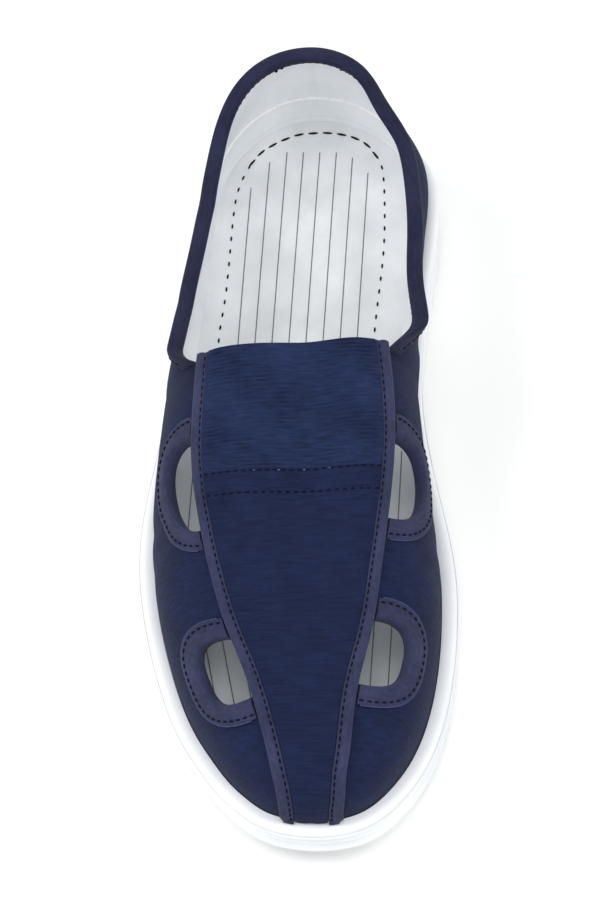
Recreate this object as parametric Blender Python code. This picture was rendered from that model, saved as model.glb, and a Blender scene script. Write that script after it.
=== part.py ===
"""Antistatic canvas slip-on shoe, right foot, standing empty on its sole.

Metres, +Z up. The toe points to -Y, the heel to +Y and the inner side of the foot to +X.
The origin is at the floor, below the middle of the sole's outline.

Every piece is made from two things: the sole's outline, and the shell of the upper, which is worked
out on cross sections called stations. A station is named by its angle: 0 at the toe tip, pi at the
back of the heel, with even steps of angle giving close stations at both round ends.
A side is LATERAL or MEDIAL. A lift is a distance outwards from the shell's outer face.
"""

import math

import bmesh
import bpy
import numpy as np

# Driving sizes
SOLE_LENGTH = 0.260
BALL_WIDTH = 0.102        # sole, across the ball
HEEL_HEIGHT = 0.070       # floor to the collar, at the back
INSTEP_HEIGHT = 0.072     # floor to the shell's crown, at the front edge of the collar
HEEL_LIP_HEIGHT = 0.029   # floor to the top of the sole's side, at the back
WALL = 0.002              # canvas with its lining

# Sole
LIP_WIDTH = 0.0052        # top of the sole's side, outside the upper
TOE_SPRING = 0.009
ARCH_RISE = 0.003
HEEL_BEVEL = 0.0015
CUP_DEPTH = 0.006         # from the top of the sole's side to the seat of the upper and the insole
SIDE_STEP = 0.0013        # depth of the grooves round the sole's side
TREAD_DEPTH = 0.0025
TREAD_PITCH = 0.012
TREAD_GROOVE = 0.004
TREAD_RIM = 0.009         # plain edge around the tread
TREAD_SAG = 0.005         # how far each tread groove bows towards the toe

# Upper and what lies on it
COLLAR_FLARE = 0.006      # unit of the collar's lean, in or out from the sole's lip
SIDE_BULGE = 0.003        # how far the shell swells over the lip
TOE_ROUND = 0.028         # length over which the toe rises from the lip
TOE_FULLNESS = 2.2        # exponent of that rise
MEDIAL_FULLNESS = 1.15    # the section's medial half is this much squarer
STRIP_WIDTH = 0.588 * BALL_WIDTH    # strip on the vamp, across the collar's front edge
STRIP_THICKNESS = 0.0011
ELASTIC_THICKNESS = 0.0013
ELASTIC_OVERHANG = 0.0021  # elastic past the shell's front edge
STRIP_TAPE_WIDTH = 0.0044
STRIP_TAPE_THICKNESS = 0.0016
COLLAR_TAPE_WIDTH = 0.0042  # tape folded over the collar, each leg
VENT_TAPE_WIDTH = 0.006   # tape folded over the cut-outs, each leg
EDGE_TAPE_THICKNESS = 0.0008
VENT_DEPTH = 0.0155       # cut-out, from the strip's edge outwards
VENT_UNDERLAP = 0.0008    # how far a cut-out runs in below the strip
INSOLE_THICKNESS = 0.0035

SEAT_GAP = 0.0003         # between pieces that touch
LATERAL_CORNER = 0.010    # length of the round corner between the collar's front edge and its side
MEDIAL_CORNER = 0.018
THROAT_SKEW = 0.0068      # the elastic's medial end lies this far behind the middle of its edge
SKEW_RISE = 0.014         # the skew grows to its full size over this height above the lip

# Places along the sole, as shares of its length from the toe
THROAT = 0.54
SKEW_REACH = 0.6          # and over this share of the strip's width
SKEW_FRONT = 0.25         # it fades over this share of the length to the front
SKEW_REAR = 0.09          # and over this share to the rear
ELASTIC_SEAM = 0.405
FOREFOOT_SPOT = 0.34
HEEL_SPOT = 0.79
ROLL_POINT = 0.27         # the toe rises in front of this
ARCH_START = 0.44
ARCH_END = 0.63
HEEL_ROLL = 0.945
FOREFOOT_GROOVES = (-7, 2)   # first and last groove, counted from the spot
HEEL_GROOVES = (-3, 2)

# Facets
FRONT_STEPS = 20
CORNER_STEPS = 5
REAR_STEPS = 13
SIDE_ROWS = 8
CROWN_ROWS = 5
STRIP_ROWS = 5
TOE_CAP_STEPS = 7
TOE_CAP_END = 0.40        # station where the toe's steep rise ends
STRIP_TOE = 0.02          # first station of the strip, just behind the toe tip
VENT_STEPS = 13

LATERAL = -1
MEDIAL = 1
CORNERS = {LATERAL: LATERAL_CORNER, MEDIAL: MEDIAL_CORNER}
CLEAR = 0.004             # how far a cutter stands out of what it cuts
WELD = 1e-6

# Sole's outline: along is a share of the length, the others are shares of the ball's width
OUTLINE = (
    # along, lateral, medial
    (0.000, 0.084, 0.084),
    (0.010, -0.061, 0.227),
    (0.030, -0.142, 0.305),
    (0.052, -0.203, 0.355),
    (0.080, -0.260, 0.402),
    (0.120, -0.328, 0.446),
    (0.200, -0.415, 0.489),
    (0.280, -0.472, 0.500),
    (0.360, -0.500, 0.486),
    (0.430, -0.493, 0.447),
    (0.495, -0.468, 0.406),
    (0.560, -0.447, 0.377),
    (0.640, -0.428, 0.369),
    (0.740, -0.408, 0.386),
    (0.830, -0.390, 0.409),
    (0.887, -0.363, 0.397),
    (0.935, -0.300, 0.330),
    (0.975, -0.195, 0.213),
    (1.000, 0.000, 0.000),
)
# Top of the sole's side, as a share of its height at the heel
LIP_HEIGHTS = (
    # along, height
    (0.00, 0.83),
    (0.10, 0.73),
    (0.25, 0.645),
    (0.40, 0.66),
    (0.55, 0.77),
    (0.70, 0.88),
    (0.85, 0.97),
    (1.00, 1.00),
)
# Side of the sole: height is a share of the way up to the lip, out is a share of SIDE_STEP
SOLE_SIDE = (
    # height, out
    (0.00, -1.1),
    (0.07, 0.0),
    (0.30, 0.0),
    (0.35, -1.0),
    (0.43, -1.0),
    (0.48, -0.2),
    (0.56, -0.2),
    (0.61, -1.0),
    (0.69, -1.0),
    (0.75, 0.0),
    (0.94, 0.0),
    (1.00, -0.7),
)
# Middle of the shell: crown is a share of INSTEP_HEIGHT, ridge is how far the crown lies to the
# medial side of the middle, as a share of BALL_WIDTH, fullness is the section's exponent, and
# bulge is a share of SIDE_BULGE
SECTIONS = (
    # along, crown, ridge, fullness, bulge
    (0.000, 0.560, 0.005, 2.30, 0.0),
    (0.065, 0.595, 0.005, 2.30, 0.0),
    (0.120, 0.625, 0.006, 2.30, 0.0),
    (0.200, 0.667, 0.006, 2.35, 0.1),
    (0.290, 0.730, 0.007, 2.40, 0.1),
    (0.380, 0.812, 0.014, 2.45, 0.2),
    (0.450, 0.893, 0.021, 2.55, 0.6),
    (0.510, 0.965, 0.022, 2.65, 1.0),
    (0.555, 1.000, 0.020, 2.70, 1.1),
    (0.640, 1.040, 0.020, 2.70, 1.0),
    (0.760, 1.040, 0.010, 2.70, 0.8),
    (0.900, 1.040, 0.000, 2.70, 0.8),
    (1.000, 1.040, 0.000, 2.70, 1.0),
)
# Collar: height is a share of HEEL_HEIGHT, the leans are shares of COLLAR_FLARE, outwards.
# The medial side opens at the front and sags in behind the ankle.
COLLAR = (
    # along, height, lateral lean, medial lean
    (0.540, 0.855, 0.05, 0.80),
    (0.600, 0.810, 0.03, 1.10),
    (0.680, 0.771, -0.02, 0.65),
    (0.750, 0.757, -0.15, 0.28),
    (0.820, 0.780, -0.28, -0.33),
    (0.870, 0.830, -0.35, -0.75),
    (0.910, 0.885, -0.27, -1.08),
    (0.950, 0.950, -0.15, -1.05),
    (0.980, 0.985, -0.15, -0.50),
    (1.000, 1.000, -0.25, -0.25),
)
# Strip on the vamp: half is a share of STRIP_WIDTH from the crown, tape is the share of the tape's
# width that shows from above, where the strip's edge slopes
STRIP = (
    # along, half, tape
    (0.000, 0.155, 1.00),
    (0.027, 0.170, 1.00),
    (0.076, 0.208, 1.00),
    (0.122, 0.245, 1.00),
    (0.157, 0.280, 1.00),
    (0.223, 0.368, 0.95),
    (0.259, 0.405, 0.92),
    (0.332, 0.463, 0.86),
    (0.440, 0.508, 0.80),
    (0.500, 0.492, 0.80),
    (0.560, 0.466, 0.80),
)
# Cut-outs: place and half are shares of SOLE_LENGTH, depth is a share of VENT_DEPTH, skew makes a
# cut-out deeper towards the heel, and slant draws its outer front corner towards the toe
VENTS = (
    # name, side, place, half, depth, skew, slant
    ("upper_lateral", LATERAL, 0.396, 0.059, 0.80, 0.25, 0.0),
    ("upper_medial", MEDIAL, 0.395, 0.050, 0.96, 0.20, 0.0),
    ("lower_lateral", LATERAL, 0.169, 0.038, 1.00, 0.05, 0.50),
    ("lower_medial", MEDIAL, 0.190, 0.041, 0.95, 0.00, 0.10),
)
VENT_FULLNESS = 2.8       # 2 is a half ellipse, more is squarer


def spline(knots, values):
    """Smooth curve through the knots: a function that gives its value anywhere."""
    knots = np.asarray(knots, float)
    values = np.asarray(values, float)
    gaps = np.diff(knots)
    slopes = np.diff(values) / gaps
    count = len(knots)
    system = np.eye(count)
    bends = np.zeros(count)
    for row in range(1, count - 1):
        system[row, row - 1:row + 2] = (gaps[row - 1], 2 * (gaps[row - 1] + gaps[row]), gaps[row])
        bends[row] = 6 * (slopes[row] - slopes[row - 1])
    bends = np.linalg.solve(system, bends)

    def value(place):
        place = np.clip(np.asarray(place, float), knots[0], knots[-1])
        span = np.clip(np.searchsorted(knots, place) - 1, 0, count - 2)
        gap = gaps[span]
        after = place - knots[span]
        before = knots[span + 1] - place
        cubic = (bends[span] * before ** 3 + bends[span + 1] * after ** 3) / (6 * gap)
        start = (values[span] / gap - bends[span] * gap / 6) * before
        return cubic + start + (values[span + 1] / gap - bends[span + 1] * gap / 6) * after

    return value


def column(table, index):
    return [row[index] for row in table]


def curve(table, index):
    """Smooth curve of one column of a table over its first column."""
    return spline(column(table, 0), column(table, index))


lip_share = curve(LIP_HEIGHTS, 1)
crown_share = curve(SECTIONS, 1)
ridge_share = curve(SECTIONS, 2)
fullness_share = curve(SECTIONS, 3)
bulge_share = curve(SECTIONS, 4)
collar_share = curve(COLLAR, 1)
LEANS = {LATERAL: curve(COLLAR, 2), MEDIAL: curve(COLLAR, 3)}
strip_share = curve(STRIP, 1)
tape_share = curve(STRIP, 2)


def along(angle):
    """Share of the sole's length at a station."""
    return (1 - np.cos(np.abs(angle))) / 2


def station(share):
    """Angle of the station at a share of the sole's length."""
    return math.acos(min(1.0, max(-1.0, 1 - 2 * share)))


def outline_spline():
    """The outline's X over a full turn, from the heel by the medial side and the toe to the heel."""
    angles = [station(row[0]) for row in OUTLINE]
    medial = [(-angle, row[2]) for angle, row in zip(angles, OUTLINE)][::-1]
    lateral = [(angle, row[1]) for angle, row in zip(angles, OUTLINE)][1:]
    turn = medial + lateral
    before = [(angle - 2 * math.pi, out) for angle, out in turn[-5:-1]]
    after = [(angle + 2 * math.pi, out) for angle, out in turn[1:5]]
    points = before + turn + after
    return spline(column(points, 0), column(points, 1))


outline_x = outline_spline()
WHOLE_TURN = np.linspace(-math.pi, math.pi, 1441)
OUTLINE_LOW = float(outline_x(WHOLE_TURN).min())
OUTLINE_HIGH = float(outline_x(WHOLE_TURN).max())


def rim(angle, side, grow=0.0):
    """X and Y of the sole's outline at a station, moved outwards by grow."""
    turn = -side * np.asarray(angle, float)
    scale = BALL_WIDTH / (OUTLINE_HIGH - OUTLINE_LOW)
    step = 1e-4
    middle = (OUTLINE_HIGH + OUTLINE_LOW) / 2
    x = (outline_x(turn) - middle) * scale
    y = -np.cos(turn) * SOLE_LENGTH / 2
    run_x = (outline_x(turn + step) - outline_x(turn - step)) * scale
    run_y = (np.cos(turn - step) - np.cos(turn + step)) * SOLE_LENGTH / 2
    run = np.hypot(run_x, run_y)
    return x - run_y / run * grow, y + run_x / run * grow


def ground(angle):
    """Height of the tread's lowest face: flat at the forefoot and heel, raised at toe and arch."""
    share = along(angle)
    toe = TOE_SPRING * np.clip((ROLL_POINT - share) / ROLL_POINT, 0, 1) ** 2
    inside = np.clip((share - ARCH_START) / (ARCH_END - ARCH_START), 0, 1)
    arch = ARCH_RISE * np.sin(math.pi * inside) ** 2
    heel = HEEL_BEVEL * np.clip((share - HEEL_ROLL) / (1 - HEEL_ROLL), 0, 1) ** 2
    return toe + arch + heel


def lip(angle):
    return HEEL_LIP_HEIGHT * lip_share(along(angle))


def fullness(angle, side):
    more = MEDIAL_FULLNESS if side == MEDIAL else 1.0
    return fullness_share(along(angle)) * more


def section_height(angle, lift=0.0):
    """Crown above the lip: it starts from nothing at the toe tip."""
    run = np.clip(along(angle) * SOLE_LENGTH / TOE_ROUND, 0, 1)
    rise = (1 - (1 - run) ** TOE_FULLNESS) ** (1 / TOE_FULLNESS)
    return (INSTEP_HEIGHT * crown_share(along(angle)) - lip(angle) + lift) * rise


def section_foot(angle, side, lift=0.0):
    """Where a section meets the lip, and the point below its crown."""
    near_x, near_y = rim(angle, side, lift - LIP_WIDTH)
    far_x, far_y = rim(angle, -side, lift - LIP_WIDTH)
    narrow = np.clip(np.abs(near_x - far_x) / (BALL_WIDTH / 2), 0, 1)
    middle_x = (near_x + far_x) / 2 + BALL_WIDTH * ridge_share(along(angle)) * narrow
    return near_x, near_y, middle_x, (near_y + far_y) / 2


def askew(points):
    """Swings the throat's medial end back: the elastic's edge runs askew over the instep."""
    share = points[..., 1] / SOLE_LENGTH + 0.5 - THROAT
    spread = np.where(share < 0, SKEW_FRONT, SKEW_REAR)
    out = np.clip(points[..., 0] / (SKEW_REACH * STRIP_WIDTH), 0, 1)
    high = np.clip((points[..., 2] - HEEL_LIP_HEIGHT) / SKEW_RISE, 0, 1)
    moved = np.array(points)
    moved[..., 1] += THROAT_SKEW * np.exp(-(share / spread) ** 2) * smooth(out) * smooth(high)
    return moved


def smooth(share):
    return share * share * (3 - 2 * share)


def closed_point(angle, side, theta, lift=0.0):
    """Point of the closed section before the skew: theta is 0 at the lip and pi / 2 at the crown."""
    near_x, near_y, middle_x, middle_y = section_foot(angle, side, lift)
    power = 2 / fullness(angle, side)
    flat = np.clip(np.cos(theta), 0, 1) ** power
    rise = np.clip(np.sin(theta), 0, 1) ** power
    swell = SIDE_BULGE * bulge_share(along(angle)) * 6.75 * rise * (1 - rise) ** 2
    x = middle_x + (near_x - middle_x) * flat + side * swell
    z = lip(angle) + section_height(angle, lift) * rise
    return np.stack([x, middle_y + (near_y - middle_y) * flat, z], axis=-1)


def arch_point(angle, side, theta, lift=0.0):
    return askew(closed_point(angle, side, theta, lift))


def strip_theta(angle, side, half):
    """Where a line at a distance from the crown, seen from above, meets the section."""
    near_x, _, middle_x, _ = section_foot(angle, side)
    reach = np.abs(near_x - middle_x)
    ratio = np.clip(half / np.maximum(reach, WELD), 0, 1)
    return np.arccos(ratio ** (fullness(angle, side) / 2))


def strip_half(angle):
    return STRIP_WIDTH * strip_share(along(angle))


def shoulder_theta(angle, side):
    """Where the shell's side rows end: the strip's edge, or near the lip at the narrow toe tip."""
    return np.maximum(strip_theta(angle, side, strip_half(angle)), math.radians(25))


def side_point(angle, side, row, lift=0.0):
    """Point of the shell's side: row is 0 at the lip and 1 at the strip's edge or the collar."""
    share = along(angle)
    row = np.asarray(row, float)
    full = fullness(angle, side)
    corner = np.sin(shoulder_theta(angle, side)) ** (2 / full)
    theta = np.arcsin(np.clip(corner * row, 0, 1) ** (full / 2))
    front = closed_point(angle, side, theta, lift)
    x, y = rim(angle, side, lift - LIP_WIDTH)
    past_x, past_y = rim(angle, side, lift - LIP_WIDTH + 1.0)
    swell = SIDE_BULGE * bulge_share(share) * 6.75 * row * (1 - np.minimum(row, 1)) ** 2
    out = swell + COLLAR_FLARE * LEANS[side](share) * row ** 1.5
    base = lip(angle)
    z = base + row * (HEEL_HEIGHT * collar_share(share) - base)
    rear = np.stack([x + (past_x - x) * out, y + (past_y - y) * out, z], axis=-1)
    run = np.clip((share - THROAT) * SOLE_LENGTH / CORNERS[side], 0, 1)
    blend = (1 - (1 - run) ** 2.5)[..., None]
    return askew(front * (1 - blend) + rear * blend)


def crown_point(angle, side, row, lift=0.0):
    """Point of the shell's top: row is 0 at the strip's edge and 1 at the crown."""
    start = shoulder_theta(angle, side)
    return arch_point(angle, side, start + np.asarray(row) * (math.pi / 2 - start), lift)


def beside_strip(angle, side, distance, lift=0.0):
    """Point of the shell at a distance along its section, outwards from the strip's edge."""
    thetas = np.linspace(math.pi / 2, 0, 121)
    section = arch_point(np.full(121, angle), side, thetas)
    lengths = np.concatenate([[0], np.cumsum(np.linalg.norm(np.diff(section, axis=0), axis=1))])
    edge = strip_theta(angle, side, strip_half(angle))
    start = np.interp(math.pi / 2 - edge, math.pi / 2 - thetas, lengths)
    theta = np.interp(start + distance, lengths, thetas)
    return arch_point(angle, side, theta, lift)


# Mesh tools

def add_grid(bm, points):
    """Faces between the points of a table of rows and columns."""
    rows, columns = points.shape[:2]
    verts = [[bm.verts.new(points[row, col]) for col in range(columns)] for row in range(rows)]
    for row in range(rows - 1):
        for col in range(columns - 1):
            bm.faces.new((verts[row][col], verts[row][col + 1], verts[row + 1][col + 1], verts[row + 1][col]))


def close_up(bm):
    """Joins the grids at their shared edges and turns all faces outwards."""
    bmesh.ops.remove_doubles(bm, verts=bm.verts, dist=WELD)
    bmesh.ops.recalc_face_normals(bm, faces=bm.faces)


def add_plate(bm, outer, inner):
    """Closed wall between two grids of the same size."""
    add_grid(bm, outer)
    add_grid(bm, inner)
    for cut in (np.s_[0, :], np.s_[-1, :], np.s_[:, 0], np.s_[:, -1]):
        add_grid(bm, np.stack([outer[cut], inner[cut]]))


def make_object(name, bm, material):
    close_up(bm)
    mesh = bpy.data.meshes.new(name)
    bm.to_mesh(mesh)
    bm.free()
    mesh.shade_smooth()
    mesh.set_sharp_from_angle(angle=math.radians(35))
    item = bpy.data.objects.new(name, mesh)
    bpy.context.scene.collection.objects.link(item)
    if material:
        mesh.materials.append(material)
    return item


def cut(item, cutter):
    """Takes the cutter's solids out of an object."""
    cutter.hide_render = True
    cutter.display_type = 'WIRE'
    boolean = item.modifiers.new("cut", 'BOOLEAN')
    boolean.operation = 'DIFFERENCE'
    boolean.solver = 'EXACT'
    boolean.object = cutter


def make_material(name, colour, roughness):
    """Plain non-metal finish from an sRGB hex colour."""
    channels = [int(colour[place:place + 2], 16) / 255 for place in (0, 2, 4)]
    linear = [part / 12.92 if part <= 0.04045 else ((part + 0.055) / 1.055) ** 2.4 for part in channels]
    material = bpy.data.materials.new(name)
    material.use_nodes = True
    shader = material.node_tree.nodes["Principled BSDF"]
    shader.inputs["Base Color"].default_value = (*linear, 1.0)
    shader.inputs["Roughness"].default_value = roughness
    shader.inputs["Metallic"].default_value = 0.0
    material.diffuse_color = (*linear, 1.0)
    return material


def collar_start():
    """First station of the collar's tape: just clear of the elastic's end."""
    return station(THROAT + (ELASTIC_OVERHANG + 2 * SEAT_GAP) / SOLE_LENGTH)


def stations():
    """Angles of all stations: those of the front reach the collar's front edge."""
    throat = station(THROAT)
    corner_end = station(THROAT + max(CORNERS.values()) / SOLE_LENGTH)
    front = np.linspace(0, throat, FRONT_STEPS + 1)
    corner = np.linspace(collar_start(), corner_end, CORNER_STEPS + 1)
    rear = np.linspace(corner_end, math.pi, REAR_STEPS + 1)
    return front, np.concatenate([[throat], corner, rear[1:]])


def all_stations():
    front, rear = stations()
    return np.concatenate([front, rear[1:]])


# Sole

def ring(grow, height):
    """Closed line around the foot as two rows of points, lateral and medial."""
    angles = all_stations()
    z = height(angles)
    return [np.stack([*rim(angles, side, grow), z], axis=-1) for side in (LATERAL, MEDIAL)]


def seat(angle):
    """Floor of the sole's cup."""
    return lip(angle) - CUP_DEPTH


def make_sole(material):
    bm = bmesh.new()
    rings = []
    for share, out in SOLE_SIDE:
        rings.append(ring(out * SIDE_STEP, lambda a, share=share: ground(a) + share * (lip(a) - ground(a))))
    rings.append(ring(SEAT_GAP - LIP_WIDTH, lip))
    rings.append(ring(SEAT_GAP - LIP_WIDTH, seat))
    for side in (0, 1):
        add_grid(bm, np.stack([line[side] for line in rings]))
    for line in (rings[0], rings[-1]):
        add_grid(bm, np.stack(line))
    sole = make_object("outsole", bm, material)
    cut(sole, make_tread_cutter())
    return sole


def make_tread_cutter():
    """Bowed grooves across the forefoot and the heel, all in one object."""
    bm = bmesh.new()
    for spot, (first, last) in ((FOREFOOT_SPOT, FOREFOOT_GROOVES), (HEEL_SPOT, HEEL_GROOVES)):
        for count in range(first, last + 1):
            add_groove(bm, (spot - 0.5) * SOLE_LENGTH + (count + 0.5) * TREAD_PITCH)
    return make_object("tread_cutter", bm, None)


def add_groove(bm, middle_y):
    share = middle_y / SOLE_LENGTH + 0.5
    angle = station(share)
    low_x = rim(angle, LATERAL)[0] + TREAD_RIM
    high_x = rim(angle, MEDIAL)[0] - TREAD_RIM
    cross = np.linspace(-1, 1, 7)
    x = (low_x + high_x) / 2 + cross * (high_x - low_x) / 2
    bow = middle_y - TREAD_SAG * (1 - cross ** 2) + TREAD_SAG / 2
    layers = []
    for height in (-CLEAR, TREAD_DEPTH):
        edges = []
        for edge in (-TREAD_GROOVE / 2, TREAD_GROOVE / 2):
            y = bow + edge
            angles = np.arccos(np.clip(-2 * y / SOLE_LENGTH, -1, 1))
            edges.append(np.stack([x, y, ground(angles) + height], axis=-1))
        layers.append(np.stack(edges))
    add_plate(bm, layers[1], layers[0])


def make_insole(material):
    bm = bmesh.new()
    grow = -LIP_WIDTH - WALL - SEAT_GAP
    low = ring(grow, lambda a: seat(a) + SEAT_GAP)
    high = ring(grow, lambda a: seat(a) + SEAT_GAP + INSOLE_THICKNESS)
    for side in (0, 1):
        add_grid(bm, np.stack([low[side], high[side]]))
    for line in (low, high):
        add_grid(bm, np.stack(line))
    return make_object("insole", bm, material)


# Upper

def foot_row(angles, side, lift):
    """The shell's lower edge, down in the sole's cup."""
    x, y = rim(angles, side, lift - LIP_WIDTH)
    return np.stack([x, y, seat(angles) + SEAT_GAP], axis=-1)


def side_rows(angles, side, lift):
    """Rows from the foot to the collar, closer together where the shell bends over the shoulder."""
    rows = [foot_row(angles, side, lift)]
    for count in range(SIDE_ROWS + 1):
        rows.append(side_point(angles, side, math.sin(math.pi / 2 * count / SIDE_ROWS), lift))
    return np.stack(rows, axis=1)


def crown_rows(angles, side, lift):
    rows = [crown_point(angles, side, count / CROWN_ROWS, lift) for count in range(CROWN_ROWS + 1)]
    return np.stack(rows, axis=1)


def make_upper(material):
    """Hollow shell: outer and inner faces, joined along the foot, the collar and its front edge."""
    bm = bmesh.new()
    front, rear = stations()
    for side in (LATERAL, MEDIAL):
        for angles, has_top in ((front, True), (rear, False)):
            faces = [side_rows(angles, side, lift) for lift in (0.0, -WALL)]
            for face in faces:
                add_grid(bm, face)
            add_grid(bm, np.stack([faces[0][:, 0], faces[1][:, 0]]))
            if not has_top:
                add_grid(bm, np.stack([faces[0][:, -1], faces[1][:, -1]]))
        tops = [crown_rows(front, side, lift) for lift in (0.0, -WALL)]
        for top in tops:
            add_grid(bm, top)
        add_grid(bm, np.stack([tops[0][-1], tops[1][-1]]))
    upper = make_object("upper", bm, material)
    cut(upper, make_vent_cutter())
    return upper


# Cut-outs

def vent_path(place, half, depth, skew, slant, phi):
    """A cut-out's edge, laid flat: distance along the shoe and distance out from the strip."""
    lean = np.sign(np.cos(phi)) * np.abs(np.cos(phi)) ** (2 / VENT_FULLNESS)
    out = np.clip(np.sin(phi), 0, 1) ** (2 / VENT_FULLNESS)
    run = (place + half * (lean - slant * out * (1 - lean) / 2)) * SOLE_LENGTH
    return np.array([run, depth * VENT_DEPTH * out * (1 + skew * lean)])


def vent_points(vent, offset, start):
    """The cut-out's edge moved outwards by offset, never nearer to the strip than start."""
    shape = vent[2:]
    points = []
    for phi in np.linspace(0.004, math.pi - 0.004, VENT_STEPS):
        here = vent_path(*shape, phi)
        ahead = vent_path(*shape, phi + 0.002)
        behind = vent_path(*shape, phi - 0.002)
        run = ahead - behind
        out = np.array([-run[1], run[0]]) / np.hypot(*run)
        point = here - out * offset
        points.append((point[0], max(point[1], start)))
    return points


def make_vent_cutter():
    bm = bmesh.new()
    for vent in VENTS:
        edge = vent_points(vent, 0.0, SEAT_GAP)
        edge = [(edge[0][0], -VENT_UNDERLAP)] + edge + [(edge[-1][0], -VENT_UNDERLAP)]
        middle = np.mean(edge, axis=0)
        layers = []
        for lift in (CLEAR, -WALL - CLEAR):
            for flat in (edge, [middle] * len(edge)):
                points = [beside_strip(station(run / SOLE_LENGTH), vent[1], out, lift) for run, out in flat]
                layers.append(np.stack(points + points[:1]))
        add_grid(bm, np.stack([layers[1], layers[0], layers[2], layers[3]]))
    return make_object("vent_cutter", bm, None)


def folded_tape(width, thickness):
    """Section of a tape folded over the shell's edge: outer and inner line, as (offset, lift)."""
    far = SEAT_GAP + thickness
    outer = [(width, far), (width / 2, far), (-far, far)]
    outer += [(-far, -WALL - far), (width / 2, -WALL - far), (width, -WALL - far)]
    inner = [(width, SEAT_GAP), (width / 2, SEAT_GAP), (-SEAT_GAP, SEAT_GAP)]
    inner += [(-SEAT_GAP, -WALL - SEAT_GAP), (width / 2, -WALL - SEAT_GAP), (width, -WALL - SEAT_GAP)]
    return outer, inner


def make_vent_binding(vent, material):
    bm = bmesh.new()
    layers = []
    for line in folded_tape(VENT_TAPE_WIDTH, EDGE_TAPE_THICKNESS):
        rows = []
        for offset, lift in line:
            flat = vent_points(vent, offset, 2 * SEAT_GAP)
            rows.append([beside_strip(station(run / SOLE_LENGTH), vent[1], out, lift) for run, out in flat])
        layers.append(np.array(rows))
    add_plate(bm, *layers)
    return make_object("vent_binding_" + vent[0], bm, material)


def make_collar_binding(material):
    """Tape over the collar's edge, from one side of the elastic round the heel to the other."""
    bm = bmesh.new()
    angles = stations()[1][1:]
    layers = []
    for line in folded_tape(COLLAR_TAPE_WIDTH, EDGE_TAPE_THICKNESS):
        rows = []
        for offset, lift in line:
            halves = []
            for side in (LATERAL, MEDIAL):
                height = HEEL_HEIGHT * collar_share(along(angles)) - lip(angles)
                halves.append(side_point(angles, side, 1 - offset / height, lift))
            rows.append(np.concatenate([halves[0], halves[1][-2::-1]]))
        layers.append(np.stack(rows))
    add_plate(bm, *layers)
    return make_object("collar_binding", bm, material)


# Strip on the vamp

def lowest_theta(angle, side):
    """The strip's pieces stop this far above the sole's lip."""
    ratio = np.clip(2 * SEAT_GAP / section_height(angle), 0, 1)
    return np.arcsin(ratio ** (fullness(angle, side) / 2))


def strip_rows(angles, side, outer_half, inner_half, count, lift):
    """Rows of points on the shell between two lines at distances from the crown."""
    low = np.maximum(strip_theta(angles, side, outer_half), lowest_theta(angles, side))
    high = np.maximum(strip_theta(angles, side, inner_half), low)
    return [arch_point(angles, side, low + (high - low) * row / count, lift) for row in range(count + 1)]


def station_run(first, last):
    """Stations between two angles: the shell's own, and closer ones where the toe rises steeply."""
    own = all_stations()
    close = np.array([first])
    if first < TOE_CAP_END:
        close = np.linspace(first, TOE_CAP_END, TOE_CAP_STEPS + 1)
    inside = own[(own > close[-1] + 0.02) & (own < last - 0.004)]
    return np.concatenate([close, inside, [last]])


def make_strip_part(name, first, last, thickness, material):
    """Cloth between the two tapes, from one station to another."""
    bm = bmesh.new()
    angles = station_run(first, last)
    tape = STRIP_TAPE_WIDTH * tape_share(along(angles))
    half = strip_half(angles) - tape - SEAT_GAP
    layers = []
    for lift in (SEAT_GAP + thickness, SEAT_GAP):
        lateral = strip_rows(angles, LATERAL, half, 0 * half, STRIP_ROWS, lift)
        medial = strip_rows(angles, MEDIAL, half, 0 * half, STRIP_ROWS, lift)
        layers.append(np.stack(lateral + medial[-2::-1]))
    add_plate(bm, *layers)
    return make_object(name, bm, material)


def tape_start(side):
    """First station where the sole's lip leaves room for the whole width of the strip's tape."""
    for angle in np.linspace(0.02, 0.5, 200):
        inner = strip_half(angle) - STRIP_TAPE_WIDTH * tape_share(along(angle))
        low = lowest_theta(angle, side)
        if strip_theta(angle, side, inner) > low + 0.05:
            return float(angle)
    return 0.5


def make_strip_binding(name, side, last, material):
    bm = bmesh.new()
    angles = station_run(tape_start(side), last)
    half = strip_half(angles)
    tape = STRIP_TAPE_WIDTH * tape_share(along(angles))
    layers = []
    for lift in (SEAT_GAP + STRIP_TAPE_THICKNESS, SEAT_GAP):
        layers.append(np.stack(strip_rows(angles, side, half, half - tape, 2, lift)))
    add_plate(bm, *layers)
    return make_object(name, bm, material)


def main():
    for item in list(bpy.data.objects):
        bpy.data.objects.remove(item)

    sole_white = make_material("moulded_white_sole", "f0f1f3", 0.35)
    insole_cloth = make_material("insole_cloth", "cdd0d2", 0.9)
    canvas = make_material("navy_canvas", "232b49", 0.85)
    elastic = make_material("navy_elastic", "28314f", 0.8)
    tape = make_material("navy_tape", "303652", 0.8)

    make_sole(sole_white)
    make_insole(insole_cloth)
    make_upper(canvas)

    seam = station(ELASTIC_SEAM)
    after_seam = station(ELASTIC_SEAM + SEAT_GAP / SOLE_LENGTH)
    top = station(THROAT + ELASTIC_OVERHANG / SOLE_LENGTH)
    make_strip_part("vamp_strip", STRIP_TOE, seam, STRIP_THICKNESS, canvas)
    make_strip_part("instep_elastic", after_seam, top, ELASTIC_THICKNESS, elastic)
    make_strip_binding("strip_binding_lateral", LATERAL, top, tape)
    make_strip_binding("strip_binding_medial", MEDIAL, top, tape)
    make_collar_binding(tape)
    for vent in VENTS:
        make_vent_binding(vent, tape)


main()
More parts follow.
